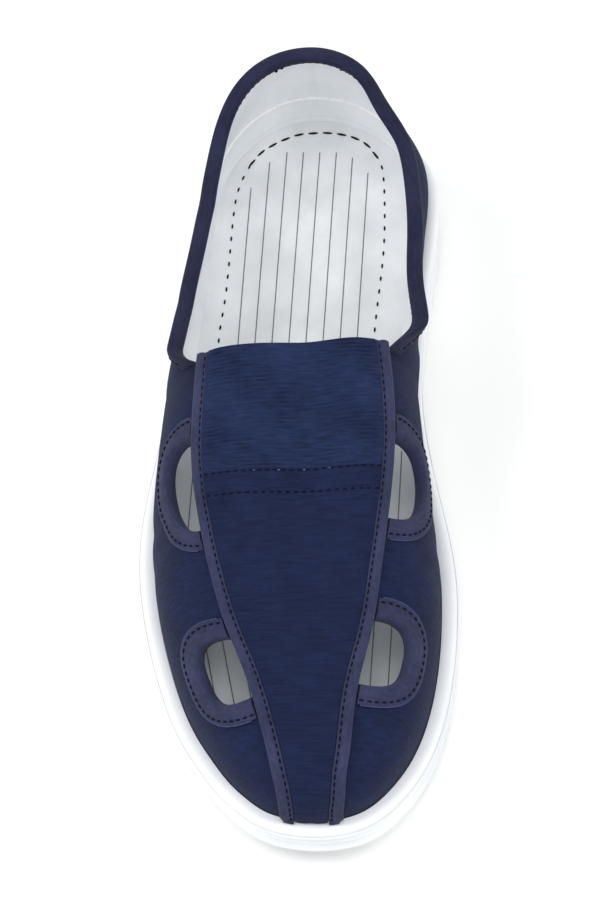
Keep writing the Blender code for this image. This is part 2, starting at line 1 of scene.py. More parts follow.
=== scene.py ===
# %% [markdown]
# # A canvas slip-on shoe with an elastic instep
# This is a light work shoe for rooms where static electricity must leak away. A navy canvas shell sits
# in a white moulded sole. A strip runs up the middle of the vamp and ends in a ribbed elastic. Four
# cut-outs let air in, and tape is folded over every raw edge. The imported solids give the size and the
# place of each piece. Here each soft piece is made again, finer, from the same shape functions, and gets
# its cloth.

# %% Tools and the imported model
import math

import bmesh
import bpy
import numpy as np
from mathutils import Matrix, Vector
from mathutils.bvhtree import BVHTree


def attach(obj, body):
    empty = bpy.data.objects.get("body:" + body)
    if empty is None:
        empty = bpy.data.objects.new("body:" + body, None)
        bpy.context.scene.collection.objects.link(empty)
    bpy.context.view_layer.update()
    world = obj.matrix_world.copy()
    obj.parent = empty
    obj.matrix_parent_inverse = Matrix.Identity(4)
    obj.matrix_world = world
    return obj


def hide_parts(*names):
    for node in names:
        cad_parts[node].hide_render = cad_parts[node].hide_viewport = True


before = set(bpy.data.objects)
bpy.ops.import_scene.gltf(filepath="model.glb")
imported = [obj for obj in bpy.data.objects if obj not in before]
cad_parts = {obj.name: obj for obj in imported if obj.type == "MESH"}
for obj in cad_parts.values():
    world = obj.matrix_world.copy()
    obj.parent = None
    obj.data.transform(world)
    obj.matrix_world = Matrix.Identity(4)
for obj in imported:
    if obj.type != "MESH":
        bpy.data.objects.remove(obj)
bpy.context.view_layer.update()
print("packed pieces:", len(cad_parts))

# %% [markdown]
# ## The last's sizes
# A maker starts from a last, the wooden foot that the upper is pulled over. Its sizes are the sole's
# length and width and a few heights. Each table below gives one shape as shares of those sizes, so
# a change of size changes every piece with it.

# %% Driving sizes, in metres
MM = 0.001
SOLE_LENGTH = 0.260
BALL_WIDTH = 0.102
HEEL_HEIGHT = 0.070
INSTEP_HEIGHT = 0.072
HEEL_LIP_HEIGHT = 0.029
WALL = 0.002
# the sole
LIP_WIDTH = 0.0052
TOE_SPRING = 0.009
ARCH_RISE = 0.003
HEEL_BEVEL = 0.0015
CUP_DEPTH = 0.006
SIDE_STEP = 0.0013
TREAD_DEPTH = 0.0025
TREAD_PITCH = 0.012
TREAD_GROOVE = 0.004
TREAD_RIM = 0.009
TREAD_SAG = 0.005
# the shell, and the skew of its throat
COLLAR_FLARE = 0.006
THROAT_SKEW = 0.0068
SKEW_RISE = 0.014
SKEW_REACH = 0.6
SKEW_FRONT = 0.25
SKEW_REAR = 0.09
SIDE_BULGE = 0.003
TOE_ROUND = 0.028
TOE_FULLNESS = 2.2
MEDIAL_FULLNESS = 1.15
# strip, elastic, tapes, cut-outs and insole
STRIP_WIDTH = 0.588 * BALL_WIDTH
STRIP_THICKNESS = 0.0011
ELASTIC_THICKNESS = 0.0013
ELASTIC_OVERHANG = 0.0021
STRIP_TAPE_WIDTH = 0.0044
STRIP_TAPE_THICKNESS = 0.0016
COLLAR_TAPE_WIDTH = 0.0042
VENT_TAPE_WIDTH = 0.006
VENT_DEPTH = 0.0155
VENT_UNDERLAP = 0.0008
VENT_FULLNESS = 2.8
INSOLE_THICKNESS = 0.0035
SEAT_GAP = 0.0003
LATERAL_CORNER = 0.010
MEDIAL_CORNER = 0.018
# places, as shares of the sole's length from the toe
THROAT = 0.54
ELASTIC_SEAM = 0.405
FOREFOOT_SPOT = 0.34
HEEL_SPOT = 0.79
ROLL_POINT = 0.27
ARCH_START = 0.44
ARCH_END = 0.63
HEEL_ROLL = 0.945
FOREFOOT_GROOVES = (-7, 2)
HEEL_GROOVES = (-3, 2)
STRIP_TOE = 0.02
# the two sides, and the distance at which points are one
LATERAL = -1
MEDIAL = 1
CORNERS = {LATERAL: LATERAL_CORNER, MEDIAL: MEDIAL_CORNER}
WELD = 1e-6
print("sole:", round(SOLE_LENGTH / MM), "x", round(BALL_WIDTH / MM), "mm")

# %% Tables: along is a share of the sole's length from the toe
OUTLINE = (
    # along, lateral, medial
    (0.000, 0.084, 0.084),
    (0.010, -0.061, 0.227),
    (0.030, -0.142, 0.305),
    (0.052, -0.203, 0.355),
    (0.080, -0.260, 0.402),
    (0.120, -0.328, 0.446),
    (0.200, -0.415, 0.489),
    (0.280, -0.472, 0.500),
    (0.360, -0.500, 0.486),
    (0.430, -0.493, 0.447),
    (0.495, -0.468, 0.406),
    (0.560, -0.447, 0.377),
    (0.640, -0.428, 0.369),
    (0.740, -0.408, 0.386),
    (0.830, -0.390, 0.409),
    (0.887, -0.363, 0.397),
    (0.935, -0.300, 0.330),
    (0.975, -0.195, 0.213),
    (1.000, 0.000, 0.000),
)
LIP_HEIGHTS = (
    # along, height
    (0.00, 0.83),
    (0.10, 0.73),
    (0.25, 0.645),
    (0.40, 0.66),
    (0.55, 0.77),
    (0.70, 0.88),
    (0.85, 0.97),
    (1.00, 1.00),
)
SECTIONS = (
    # along, crown, ridge, fullness, bulge
    (0.000, 0.560, 0.005, 2.30, 0.0),
    (0.065, 0.595, 0.005, 2.30, 0.0),
    (0.120, 0.625, 0.006, 2.30, 0.0),
    (0.200, 0.667, 0.006, 2.35, 0.1),
    (0.290, 0.730, 0.007, 2.40, 0.1),
    (0.380, 0.812, 0.014, 2.45, 0.2),
    (0.450, 0.893, 0.021, 2.55, 0.6),
    (0.510, 0.965, 0.022, 2.65, 1.0),
    (0.555, 1.000, 0.020, 2.70, 1.1),
    (0.640, 1.040, 0.020, 2.70, 1.0),
    (0.760, 1.040, 0.010, 2.70, 0.8),
    (0.900, 1.040, 0.000, 2.70, 0.8),
    (1.000, 1.040, 0.000, 2.70, 1.0),
)
COLLAR = (
    # along, height, lateral lean, medial lean
    (0.540, 0.855, 0.05, 0.80),
    (0.600, 0.810, 0.03, 1.10),
    (0.680, 0.771, -0.02, 0.65),
    (0.750, 0.757, -0.15, 0.28),
    (0.820, 0.780, -0.28, -0.33),
    (0.870, 0.830, -0.35, -0.75),
    (0.910, 0.885, -0.27, -1.08),
    (0.950, 0.950, -0.15, -1.05),
    (0.980, 0.985, -0.15, -0.50),
    (1.000, 1.000, -0.25, -0.25),
)
STRIP = (
    # along, half width, share of the tape that shows
    (0.000, 0.155, 1.00),
    (0.027, 0.170, 1.00),
    (0.076, 0.208, 1.00),
    (0.122, 0.245, 1.00),
    (0.157, 0.280, 1.00),
    (0.223, 0.368, 0.95),
    (0.259, 0.405, 0.92),
    (0.332, 0.463, 0.86),
    (0.440, 0.508, 0.80),
    (0.500, 0.492, 0.80),
    (0.560, 0.466, 0.80),
)
VENTS = (
    # name, side, place, half, depth, skew, slant
    ("upper_lateral", LATERAL, 0.396, 0.059, 0.80, 0.25, 0.0),
    ("upper_medial", MEDIAL, 0.395, 0.050, 0.96, 0.20, 0.0),
    ("lower_lateral", LATERAL, 0.169, 0.038, 1.00, 0.05, 0.50),
    ("lower_medial", MEDIAL, 0.190, 0.041, 0.95, 0.00, 0.10),
)
print("rows of the outline:", len(OUTLINE), "cut-outs:", len(VENTS))

# %% [markdown]
# ## Curves through the tables
# A table has a dozen rows, and a shoe has none of its corners. A cubic spline runs smoothly through
# the rows. A station is a cross section named by an angle, 0 at the toe tip and pi at the heel, so even
# steps lie close together at both round ends.

# %% Splines and stations


def spline(knots, values):
    """Smooth curve through the knots: a function that gives its value anywhere."""
    knots = np.asarray(knots, float)
    values = np.asarray(values, float)
    gaps = np.diff(knots)
    slopes = np.diff(values) / gaps
    count = len(knots)
    system = np.eye(count)
    bends = np.zeros(count)
    for row in range(1, count - 1):
        system[row, row - 1:row + 2] = (gaps[row - 1], 2 * (gaps[row - 1] + gaps[row]), gaps[row])
        bends[row] = 6 * (slopes[row] - slopes[row - 1])
    bends = np.linalg.solve(system, bends)

    def value(place):
        place = np.clip(np.asarray(place, float), knots[0], knots[-1])
        span = np.clip(np.searchsorted(knots, place) - 1, 0, count - 2)
        gap = gaps[span]
        after = place - knots[span]
        before = knots[span + 1] - place
        cubic = (bends[span] * before ** 3 + bends[span + 1] * after ** 3) / (6 * gap)
        start = (values[span] / gap - bends[span] * gap / 6) * before
        return cubic + start + (values[span + 1] / gap - bends[span + 1] * gap / 6) * after

    return value


def column(table, index):
    return [row[index] for row in table]


def curve(table, index):
    return spline(column(table, 0), column(table, index))


def along(angle):
    """Share of the sole's length at a station."""
    return (1 - np.cos(np.abs(angle))) / 2


def station(share):
    return math.acos(1 - 2 * share)


lip_share = curve(LIP_HEIGHTS, 1)
crown_share = curve(SECTIONS, 1)
ridge_share = curve(SECTIONS, 2)
fullness_share = curve(SECTIONS, 3)
bulge_share = curve(SECTIONS, 4)
collar_share = curve(COLLAR, 1)
LEANS = {LATERAL: curve(COLLAR, 2), MEDIAL: curve(COLLAR, 3)}
strip_share = curve(STRIP, 1)
tape_share = curve(STRIP, 2)
print("crown at the collar's front:", round(float(INSTEP_HEIGHT * crown_share(THROAT)) / MM, 1), "mm")

# %% The sole's outline, moved outwards by any distance


def outline_spline():
    angles = [station(row[0]) for row in OUTLINE]
    medial = [(-angle, row[2]) for angle, row in zip(angles, OUTLINE)][::-1]
    lateral = [(angle, row[1]) for angle, row in zip(angles, OUTLINE)][1:]
    turn = medial + lateral
    before = [(angle - 2 * math.pi, out) for angle, out in turn[-5:-1]]
    after = [(angle + 2 * math.pi, out) for angle, out in turn[1:5]]
    points = before + turn + after
    return spline(column(points, 0), column(points, 1))


outline_x = outline_spline()
WHOLE_TURN = np.linspace(-math.pi, math.pi, 1441)
OUTLINE_LOW = float(outline_x(WHOLE_TURN).min())
OUTLINE_HIGH = float(outline_x(WHOLE_TURN).max())


def rim(angle, side, grow=0.0):
    """X and Y of the sole's outline at a station, moved outwards by grow."""
    turn = -side * np.asarray(angle, float)
    scale = BALL_WIDTH / (OUTLINE_HIGH - OUTLINE_LOW)
    step = 1e-4
    middle = (OUTLINE_HIGH + OUTLINE_LOW) / 2
    x = (outline_x(turn) - middle) * scale
    y = -np.cos(turn) * SOLE_LENGTH / 2
    run_x = (outline_x(turn + step) - outline_x(turn - step)) * scale
    run_y = (np.cos(turn - step) - np.cos(turn + step)) * SOLE_LENGTH / 2
    run = np.hypot(run_x, run_y)
    return x - run_y / run * grow, y + run_x / run * grow


def ground(angle):
    share = along(angle)
    toe = TOE_SPRING * np.clip((ROLL_POINT - share) / ROLL_POINT, 0, 1) ** 2
    inside = np.clip((share - ARCH_START) / (ARCH_END - ARCH_START), 0, 1)
    arch = ARCH_RISE * np.sin(math.pi * inside) ** 2
    heel = HEEL_BEVEL * np.clip((share - HEEL_ROLL) / (1 - HEEL_ROLL), 0, 1) ** 2
    return toe + arch + heel


def lip(angle):
    return HEEL_LIP_HEIGHT * lip_share(along(angle))


def seat(angle):
    return lip(angle) - CUP_DEPTH


lip_ends = [round(float(lip(angle)) / MM, 1) for angle in (0, math.pi)]
print("sole's lip at the toe and the heel:", lip_ends, "mm")

# %% [markdown]
# ## The shell of the upper
# Behind the collar's front edge the shell is two walls that lean in or out. In front of it each section
# is closed over the foot. Both are worked out here, with a lift: a distance outwards from the cloth, so
# that tape, strip and stitches can all lie on the same shape.

# %% The shell's functions
SWELL_SCALE = 27 / 4    # brings the top of row * (1 - row) ** 2 to one
LEAN_POWER = 1.5        # the wall leans most near the collar
CORNER_POWER = 2.5      # how quickly the closed section opens behind the throat


def fullness(angle, side):
    more = MEDIAL_FULLNESS if side == MEDIAL else 1.0
    return fullness_share(along(angle)) * more


def section_height(angle, lift=0.0):
    run = np.clip(along(angle) * SOLE_LENGTH / TOE_ROUND, 0, 1)
    rise = (1 - (1 - run) ** TOE_FULLNESS) ** (1 / TOE_FULLNESS)
    return (INSTEP_HEIGHT * crown_share(along(angle)) - lip(angle) + lift) * rise


def section_foot(angle, side, lift=0.0):
    near_x, near_y = rim(angle, side, lift - LIP_WIDTH)
    far_x, far_y = rim(angle, -side, lift - LIP_WIDTH)
    narrow = np.clip(np.abs(near_x - far_x) / (BALL_WIDTH / 2), 0, 1)
    middle_x = (near_x + far_x) / 2 + BALL_WIDTH * ridge_share(along(angle)) * narrow
    return near_x, near_y, middle_x, (near_y + far_y) / 2


def smooth(share):
    return share * share * (3 - 2 * share)


def askew(points):
    """Swings the throat's medial end back: the elastic's edge runs askew over the instep."""
    share = points[..., 1] / SOLE_LENGTH + 0.5 - THROAT
    spread = np.where(share < 0, SKEW_FRONT, SKEW_REAR)
    out = np.clip(points[..., 0] / (SKEW_REACH * STRIP_WIDTH), 0, 1)
    high = np.clip((points[..., 2] - HEEL_LIP_HEIGHT) / SKEW_RISE, 0, 1)
    moved = np.array(points)
    moved[..., 1] += THROAT_SKEW * np.exp(-(share / spread) ** 2) * smooth(out) * smooth(high)
    return moved


def closed_point(angle, side, theta, lift=0.0):
    """Point of the closed section before the skew: theta is 0 at the lip and pi / 2 at the crown."""
    near_x, near_y, middle_x, middle_y = section_foot(angle, side, lift)
    power = 2 / fullness(angle, side)
    flat = np.clip(np.cos(theta), 0, 1) ** power
    rise = np.clip(np.sin(theta), 0, 1) ** power
    swell = SIDE_BULGE * bulge_share(along(angle)) * SWELL_SCALE * rise * (1 - rise) ** 2
    x = middle_x + (near_x - middle_x) * flat + side * swell
    z = lip(angle) + section_height(angle, lift) * rise
    return np.stack([x, middle_y + (near_y - middle_y) * flat, z], axis=-1)


def arch_point(angle, side, theta, lift=0.0):
    return askew(closed_point(angle, side, theta, lift))


def strip_theta(angle, side, half):
    near_x, _, middle_x, _ = section_foot(angle, side)
    reach = np.abs(near_x - middle_x)
    ratio = np.clip(half / np.maximum(reach, WELD), 0, 1)
    return np.arccos(ratio ** (fullness(angle, side) / 2))


def strip_half(angle):
    return STRIP_WIDTH * strip_share(along(angle))


def shoulder_theta(angle, side):
    return np.maximum(strip_theta(angle, side, strip_half(angle)), math.radians(25))


def side_point(angle, side, row, lift=0.0):
    """Point of the shell's side: row is 0 at the lip and 1 at the strip's edge or the collar."""
    share = along(angle)
    row = np.asarray(row, float)
    full = fullness(angle, side)
    corner = np.sin(shoulder_theta(angle, side)) ** (2 / full)
    theta = np.arcsin(np.clip(corner * row, 0, 1) ** (full / 2))
    front = closed_point(angle, side, theta, lift)
    x, y = rim(angle, side, lift - LIP_WIDTH)
    past_x, past_y = rim(angle, side, lift - LIP_WIDTH + 1.0)
    swell = SIDE_BULGE * bulge_share(share) * SWELL_SCALE * row * (1 - np.minimum(row, 1)) ** 2
    out = swell + COLLAR_FLARE * LEANS[side](share) * row ** LEAN_POWER
    base = lip(angle)
    z = base + row * (HEEL_HEIGHT * collar_share(share) - base)
    rear = np.stack([x + (past_x - x) * out, y + (past_y - y) * out, z], axis=-1)
    run = np.clip((share - THROAT) * SOLE_LENGTH / CORNERS[side], 0, 1)
    blend = (1 - (1 - run) ** CORNER_POWER)[..., None]
    return askew(front * (1 - blend) + rear * blend)


def crown_point(angle, side, row, lift=0.0):
    start = shoulder_theta(angle, side)
    return arch_point(angle, side, start + np.asarray(row) * (math.pi / 2 - start), lift)


def beside_strip(angle, side, distance, lift=0.0):
    """Point of the shell at a distance along its section, outwards from the strip's edge."""
    thetas = np.linspace(math.pi / 2, 0, 121)
    section = arch_point(np.full(121, angle), side, thetas)
    lengths = np.concatenate([[0], np.cumsum(np.linalg.norm(np.diff(section, axis=0), axis=1))])
    edge = strip_theta(angle, side, strip_half(angle))
    start = np.interp(math.pi / 2 - edge, math.pi / 2 - thetas, lengths)
    theta = np.interp(start + distance, lengths, thetas)
    return arch_point(angle, side, theta, lift)


def lowest_theta(angle, side):
    ratio = np.clip(2 * SEAT_GAP / section_height(angle), 0, 1)
    return np.arcsin(ratio ** (fullness(angle, side) / 2))


print("strip at the throat:", round(2 * float(strip_half(station(THROAT))) / MM, 1), "mm wide")

# %% [markdown]
# ## Creases
# Canvas that has been worn once or twice keeps soft folds where the foot bends it. A maker can't switch
# them off, so a shoe without them looks like plastic. Each fold here is a shallow trough with a place,
# a direction, a length and a width. It moves every layer at that place by the same amount, so tape,
# cloth and stitches stay together.

# %% The folds, placed one by one
CREASES = (
    # x, y, z, along x, along y, along z, push x, push y, push z, length, width, depth (all in mm)
    (-40, -42, 34, 0.30, 0.35, 0.90, 0.90, 0.0, -0.40, 13, 3.2, 0.90),
    (-43, -34, 34, 0.25, -0.20, 0.95, 0.90, 0.0, -0.30, 12, 3.0, 0.75),
    (41, -48, 34, -0.30, 0.30, 0.90, -0.90, 0.0, -0.35, 13, 3.2, 0.90),
    (42, -38, 33, -0.20, -0.25, 0.95, -0.90, 0.0, -0.30, 12, 3.0, 0.75),
    (-39, 28, 42, 0.05, 0.55, 0.80, 1.00, 0.0, 0.0, 14, 3.8, 0.85),
    (38, 30, 42, 0.05, -0.50, 0.85, -1.00, 0.0, 0.0, 14, 3.8, 0.85),
    (34, 86, 44, 0.0, 0.75, 0.60, -0.90, -0.2, 0.0, 16, 4.2, 1.20),
    (-33, 84, 44, 0.0, -0.70, 0.60, 0.90, -0.2, 0.0, 14, 3.8, 0.90),
)


def crease(points):
    """The same points with every fold pressed in."""
    points = np.asarray(points, float)
    moved = points.copy()
    for row in CREASES:
        middle = np.array(row[0:3]) * MM
        line = np.array(row[3:6]) / np.linalg.norm(row[3:6])
        push = np.array(row[6:9])
        length, width, depth = np.array(row[9:12]) * MM
        away = points - middle
        run = away @ line
        across = np.linalg.norm(away - run[..., None] * line, axis=-1)
        fall = np.exp(-(run / length) ** 2 - (across / width) ** 2)
        moved += push * (depth * fall)[..., None]
    return moved


print("folds:", len(CREASES))

# %% [markdown]
# ## From grids of points to pieces
# Each piece is a few grids of points joined at their edges. A grid also stores where each point lies on
# the flat cloth, in metres, as a UV map called cloth. The weave is drawn on that map, so its threads
# keep their size and follow the shoe round its bends.

# %% Mesh helpers


def flat_place(points, start=0.0):
    """Each point's place on the flat cloth: along the shoe from its first row, and across it."""
    run = np.concatenate([[0], np.cumsum(np.linalg.norm(np.diff(points[:, 0], axis=0), axis=1))])
    steps = np.linalg.norm(np.diff(points, axis=1), axis=2)
    across = np.concatenate([np.zeros((len(points), 1)), np.cumsum(steps, axis=1)], axis=1)
    return np.stack([np.broadcast_to(run[:, None] + start, across.shape), across], axis=-1)


def make_piece(name, grids, materials, sharp=50):
    """One closed mesh from grids, each given as (points, flat places, material number)."""
    verts, faces, places, numbers = [], [], [], []
    for points, flat, number in grids:
        rows, columns = points.shape[:2]
        index = np.arange(rows * columns).reshape(rows, columns)
        corners = (index[:-1, :-1], index[:-1, 1:], index[1:, 1:], index[1:, :-1])
        quads = np.stack(corners, axis=-1).reshape(-1, 4)
        faces += (quads + len(verts)).tolist()
        verts += points.reshape(-1, 3).tolist()
        places.append(flat.reshape(-1, 2)[quads.ravel()])
        numbers += [number] * len(quads)
    mesh = bpy.data.meshes.new(name)
    mesh.from_pydata(verts, [], faces)
    layer = mesh.uv_layers.new(name="cloth")
    layer.data.foreach_set("uv", np.concatenate(places).ravel())
    mesh.polygons.foreach_set("material_index", numbers)
    bm = bmesh.new()
    bm.from_mesh(mesh)
    bmesh.ops.remove_doubles(bm, verts=bm.verts, dist=WELD)
    bmesh.ops.recalc_face_normals(bm, faces=bm.faces)
    bm.to_mesh(mesh)
    bm.free()
    for material in materials:
        mesh.materials.append(material)
    mesh.shade_smooth()
    mesh.set_sharp_from_angle(angle=math.radians(sharp))
    piece = bpy.data.objects.new(name, mesh)
    bpy.context.scene.collection.objects.link(piece)
    return piece


def plate_grids(outer, inner, number=0):
    """The grids of a closed wall between an outer and an inner face."""
    grids = [(outer, flat_place(outer), number), (inner, flat_place(inner), number)]
    flat = flat_place(outer)
    for cut in (np.s_[0, :], np.s_[-1, :], np.s_[:, 0], np.s_[:, -1]):
        edge = np.stack([outer[cut], inner[cut]])
        grids.append((edge, np.stack([flat[cut], flat[cut]]), number))
    return grids


def cut_out(piece, cutter, sharp):
    """Takes the cutter out of the piece, and the cutter out of the scene."""
    cut = piece.modifiers.new("cut", 'BOOLEAN')
    cut.operation = 'DIFFERENCE'
    cut.solver = 'EXACT'
    cut.object = cutter
    applied(piece)
    bpy.data.objects.remove(cutter)
    piece.data.shade_smooth()
    piece.data.set_sharp_from_angle(angle=math.radians(sharp))
    return piece


def applied(piece):
    """The piece's mesh with its modifiers worked in, and no modifier left."""
    evaluated = piece.evaluated_get(bpy.context.evaluated_depsgraph_get())
    mesh = bpy.data.meshes.new_from_object(evaluated)
    piece.modifiers.clear()
    piece.data = mesh
    return piece


def stand_for(piece, slot, *nodes):
    """The piece moves with the shoe, and is shown in place of these solids."""
    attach(piece, "root")
    if nodes:
        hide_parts(*nodes)
    print(piece.name, "faces:", len(piece.data.polygons))
    return piece


print("helpers for meshes are ready, corners closer than", WELD, "m are merged")

# %% [markdown]
# ## Finishes
# Colours are written as the hex values that a screen shows, and one function turns them into the linear
# values that Blender mixes. One small function adds any node with its settings and links.

# %% Colour and node helpers


def linear(colour):
    """Linear red, green, blue and alpha of a colour written as sRGB hex."""
    parts = [int(colour[place:place + 2], 16) / 255 for place in (0, 2, 4)]
    parts = [part / 12.92 if part <= 0.04045 else ((part + 0.055) / 1.055) ** 2.4 for part in parts]
    return (*parts, 1.0)


def add_node(tree, kind, values=None, links=None, **settings):
    """A node with its settings, the values of its free sockets and the sockets that feed the others."""
    node = tree.nodes.new(kind)
    for name, value in settings.items():
        setattr(node, name, value)
    for socket, value in (values or {}).items():
        node.inputs[socket].default_value = value
    for socket, source in (links or {}).items():
        tree.links.new(source, node.inputs[socket])
    return node


def new_finish(name, roughness, ior=1.5):
    material = bpy.data.materials.new(name)
    material.use_nodes = True
    shader = material.node_tree.nodes["Principled BSDF"]
    shader.inputs["Roughness"].default_value = roughness
    shader.inputs["IOR"].default_value = ior
    return material, material.node_tree, shader


def drawn_on_cloth(tree, cloth, scale, **values):
    """A noise on the flat cloth, with this many spots in a metre along the cloth and across it."""
    flat = add_node(tree, "ShaderNodeVectorMath", {1: (*scale, 1)}, {0: cloth.outputs[0]},
                    operation='MULTIPLY')
    return add_node(tree, "ShaderNodeTexNoise", {"Scale": 1.0, **values}, {"Vector": flat.outputs[0]})


def dress(tree, shader, colours, share, height, relief):
    """Last step of a finish: two colours mixed by one pattern, and bumps from another."""
    paint = add_node(tree, "ShaderNodeMix", {6: linear(colours[0]), 7: linear(colours[1])}, {0: share},
                     data_type='RGBA')
    bump = add_node(tree, "ShaderNodeBump", {"Strength": 1.0, "Distance": relief}, {"Height": height})
    tree.links.new(paint.outputs[2], shader.inputs["Base Color"])
    tree.links.new(bump.outputs[0], shader.inputs["Normal"])


print("a mid grey turned linear:", round(linear("808080")[0], 4))

# %% [markdown]
# ### Woven canvas
# Canvas is a plain weave: each thread goes over one and under the next. Two sine waves multiplied give
# that chessboard of small bumps. Real threads are thicker here and thinner there, so a noise that
# is long in one direction adds the streaks. The real pitch is about 0.5 mm, too fine to show in this
# picture, so the weave is drawn at 0.9 mm. A little sheen is the fuzz of the cotton.

# %% Canvas, tape and elastic
WEAVE_PITCH = 0.0009
TAPE_PITCH = 0.0007
ELASTIC_PITCH = 0.0008
WORN_SPOTS = 60    # slow changes of tone in a metre of cloth


def woven_finish(name, colours, pitch, streak, relief, sheen, mottle=0.35):
    """Plain weave with slubs: streak is (along, across), the size of the thick and thin places."""
    material, tree, shader = new_finish(name, 0.86, 1.45)
    shader.inputs["Sheen Weight"].default_value = sheen
    shader.inputs["Sheen Roughness"].default_value = 0.45
    shader.inputs["Specular IOR Level"].default_value = 0.18
    cloth = add_node(tree, "ShaderNodeUVMap", uv_map="cloth")
    split = add_node(tree, "ShaderNodeSeparateXYZ", links={0: cloth.outputs[0]})
    waves = []
    for place in (0, 1):
        turn = add_node(tree, "ShaderNodeMath", {1: 2 * math.pi / pitch}, {0: split.outputs[place]},
                        operation='MULTIPLY')
        waves.append(add_node(tree, "ShaderNodeMath", links={0: turn.outputs[0]}, operation='SINE'))
    weave = add_node(tree, "ShaderNodeMath", links={0: waves[0].outputs[0], 1: waves[1].outputs[0]},
                     operation='MULTIPLY')
    slub = drawn_on_cloth(tree, cloth, (1 / streak[0], 1 / streak[1]), Detail=2.0, Roughness=0.6)
    cloud = drawn_on_cloth(tree, cloth, (WORN_SPOTS, WORN_SPOTS), Detail=3.0)
    shade = add_node(tree, "ShaderNodeMix", {0: mottle}, {2: slub.outputs[0], 3: cloud.outputs[0]},
                     data_type='FLOAT')
    clear = add_node(tree, "ShaderNodeMapRange", {1: 0.34, 2: 0.66}, {0: shade.outputs[0]})
    height = add_node(tree, "ShaderNodeMath", {1: 0.35}, {0: weave.outputs[0], 2: slub.outputs[0]},
                      operation='MULTIPLY_ADD')
    dress(tree, shader, colours, clear.outputs[0], height.outputs[0], relief)
    return material


canvas = woven_finish(
    "navy_cotton_canvas", ("121931", "1b2548"), WEAVE_PITCH, (0.0011, 0.0045), 0.00022, 0.04)
strip_canvas = woven_finish(
    "navy_strip_canvas", ("101731", "1b2547"), WEAVE_PITCH, (0.0008, 0.0085), 0.00026, 0.03)
ribbed = woven_finish(
    "navy_ribbed_elastic", ("131b36", "233055"), ELASTIC_PITCH, (0.0006, 0.006), 0.00016, 0.04)
tape = woven_finish(
    "navy_cotton_tape", ("272a41", "3a3e5c"), TAPE_PITCH, (0.0030, 0.0010), 0.00014, 0.06, 0.6)
collar_cloth = woven_finish(
    "navy_collar_tape", ("191c30", "2a2d47"), TAPE_PITCH, (0.0030, 0.0010), 0.00014, 0.05, 0.6)
print("weaves drawn at", WEAVE_PITCH / MM, "mm")

# %% [markdown]
# ### Lining, sock and threads
# The lining is a white knit with a smooth face, a little grey where it has been handled. The sock over
# the insole is the same, duller. Sewing thread is navy, and the conductive threads in the sock are
# carbon black.

# %% Knit, thread and moulded sole
HANDLED_SPOTS = (45, 45)     # in a metre of knit
KNIT_LOOPS = (1100, 700)     # in a metre, along the cloth and across it
PEEL_RELIEF = 0.00004


def knit_finish(name, colours, roughness, relief):
    material, tree, shader = new_finish(name, roughness, 1.45)
    shader.inputs["Specular IOR Level"].default_value = 0.35
    cloth = add_node(tree, "ShaderNodeUVMap", uv_map="cloth")
    cloud = drawn_on_cloth(tree, cloth, HANDLED_SPOTS, Detail=4.0)
    clear = add_node(tree, "ShaderNodeMapRange", {1: 0.35, 2: 0.65}, {0: cloud.outputs[0]})
    loops = drawn_on_cloth(tree, cloth, KNIT_LOOPS, Detail=2.0)
    dress(tree, shader, colours, clear.outputs[0], loops.outputs[0], relief)
    return material


def thread_finish(name, colour, roughness):
    """Twisted thread: the twist is too fine to show, so a noise varies its colour a little."""
    material, tree, shader = new_finish(name, roughness, 1.5)
    shader.inputs["Specular IOR Level"].default_value = 0.06
    place = add_node(tree, "ShaderNodeTexCoord")
    noise = add_node(tree, "ShaderNodeTexNoise", {"Scale": 900.0, "Detail": 1.0},
                     {"Vector": place.outputs["Object"]})
    pale = tuple(min(1.0, part * 1.5) for part in linear(colour)[:3]) + (1.0,)
    paint = add_node(tree, "ShaderNodeMix", {6: linear(colour), 7: pale}, {0: noise.outputs[0]},
                     data_type='RGBA')
    tree.links.new(paint.outputs[2], shader.inputs["Base Color"])
    return material


def moulded_finish(name, colours, roughness):
    """Injected foam with a closed skin: smooth, with a faint orange peel from the mould."""
    material, tree, shader = new_finish(name, roughness, 1.5)
    place = add_node(tree, "ShaderNodeTexCoord")
    cloud = add_node(tree, "ShaderNodeTexNoise", {"Scale": 28.0, "Detail": 3.0},
                     {"Vector": place.outputs["Object"]})
    clear = add_node(tree, "ShaderNodeMapRange", {1: 0.35, 2: 0.7}, {0: cloud.outputs[0]})
    peel = add_node(tree, "ShaderNodeTexNoise", {"Scale": 650.0, "Detail": 2.0},
                    {"Vector": place.outputs["Object"]})
    dress(tree, shader, colours, clear.outputs[0], peel.outputs[0], PEEL_RELIEF)
    return material


lining = knit_finish("white_lining_knit", ("dfe3e6", "f1f3f5"), 0.5, 0.00006)
sock = knit_finish("grey_white_sock_knit", ("d2d5d7", "e4e6e8"), 0.75, 0.00010)
sole_foam = moulded_finish("white_moulded_sole", ("f3f4f6", "e9ecf0"), 0.38)
navy_thread = thread_finish("navy_sewing_thread", "0b0e1e", 0.6)
tape_thread = thread_finish("grey_navy_tape_edge", "3a3f5d", 0.8)
edge_thread = thread_finish("pale_grey_thread_flecks", "5d627e", 0.7)
carbon_thread = thread_finish("carbon_black_thread", "1d1e22", 0.6)
grey_thread = thread_finish("carbon_grey_thread", "6a6d70", 0.7)
print("finishes so far:", len(bpy.data.materials))

# %% [markdown]
# ## The moulded sole
# One white unit, injected in a mould: a rounded lip that wraps the upper, two grooves round its side,
# a raised toe and arch, and bars underneath. The side is one profile swept round the outline.
# A table gives the profile, and a running mean rounds its corners as a mould does.

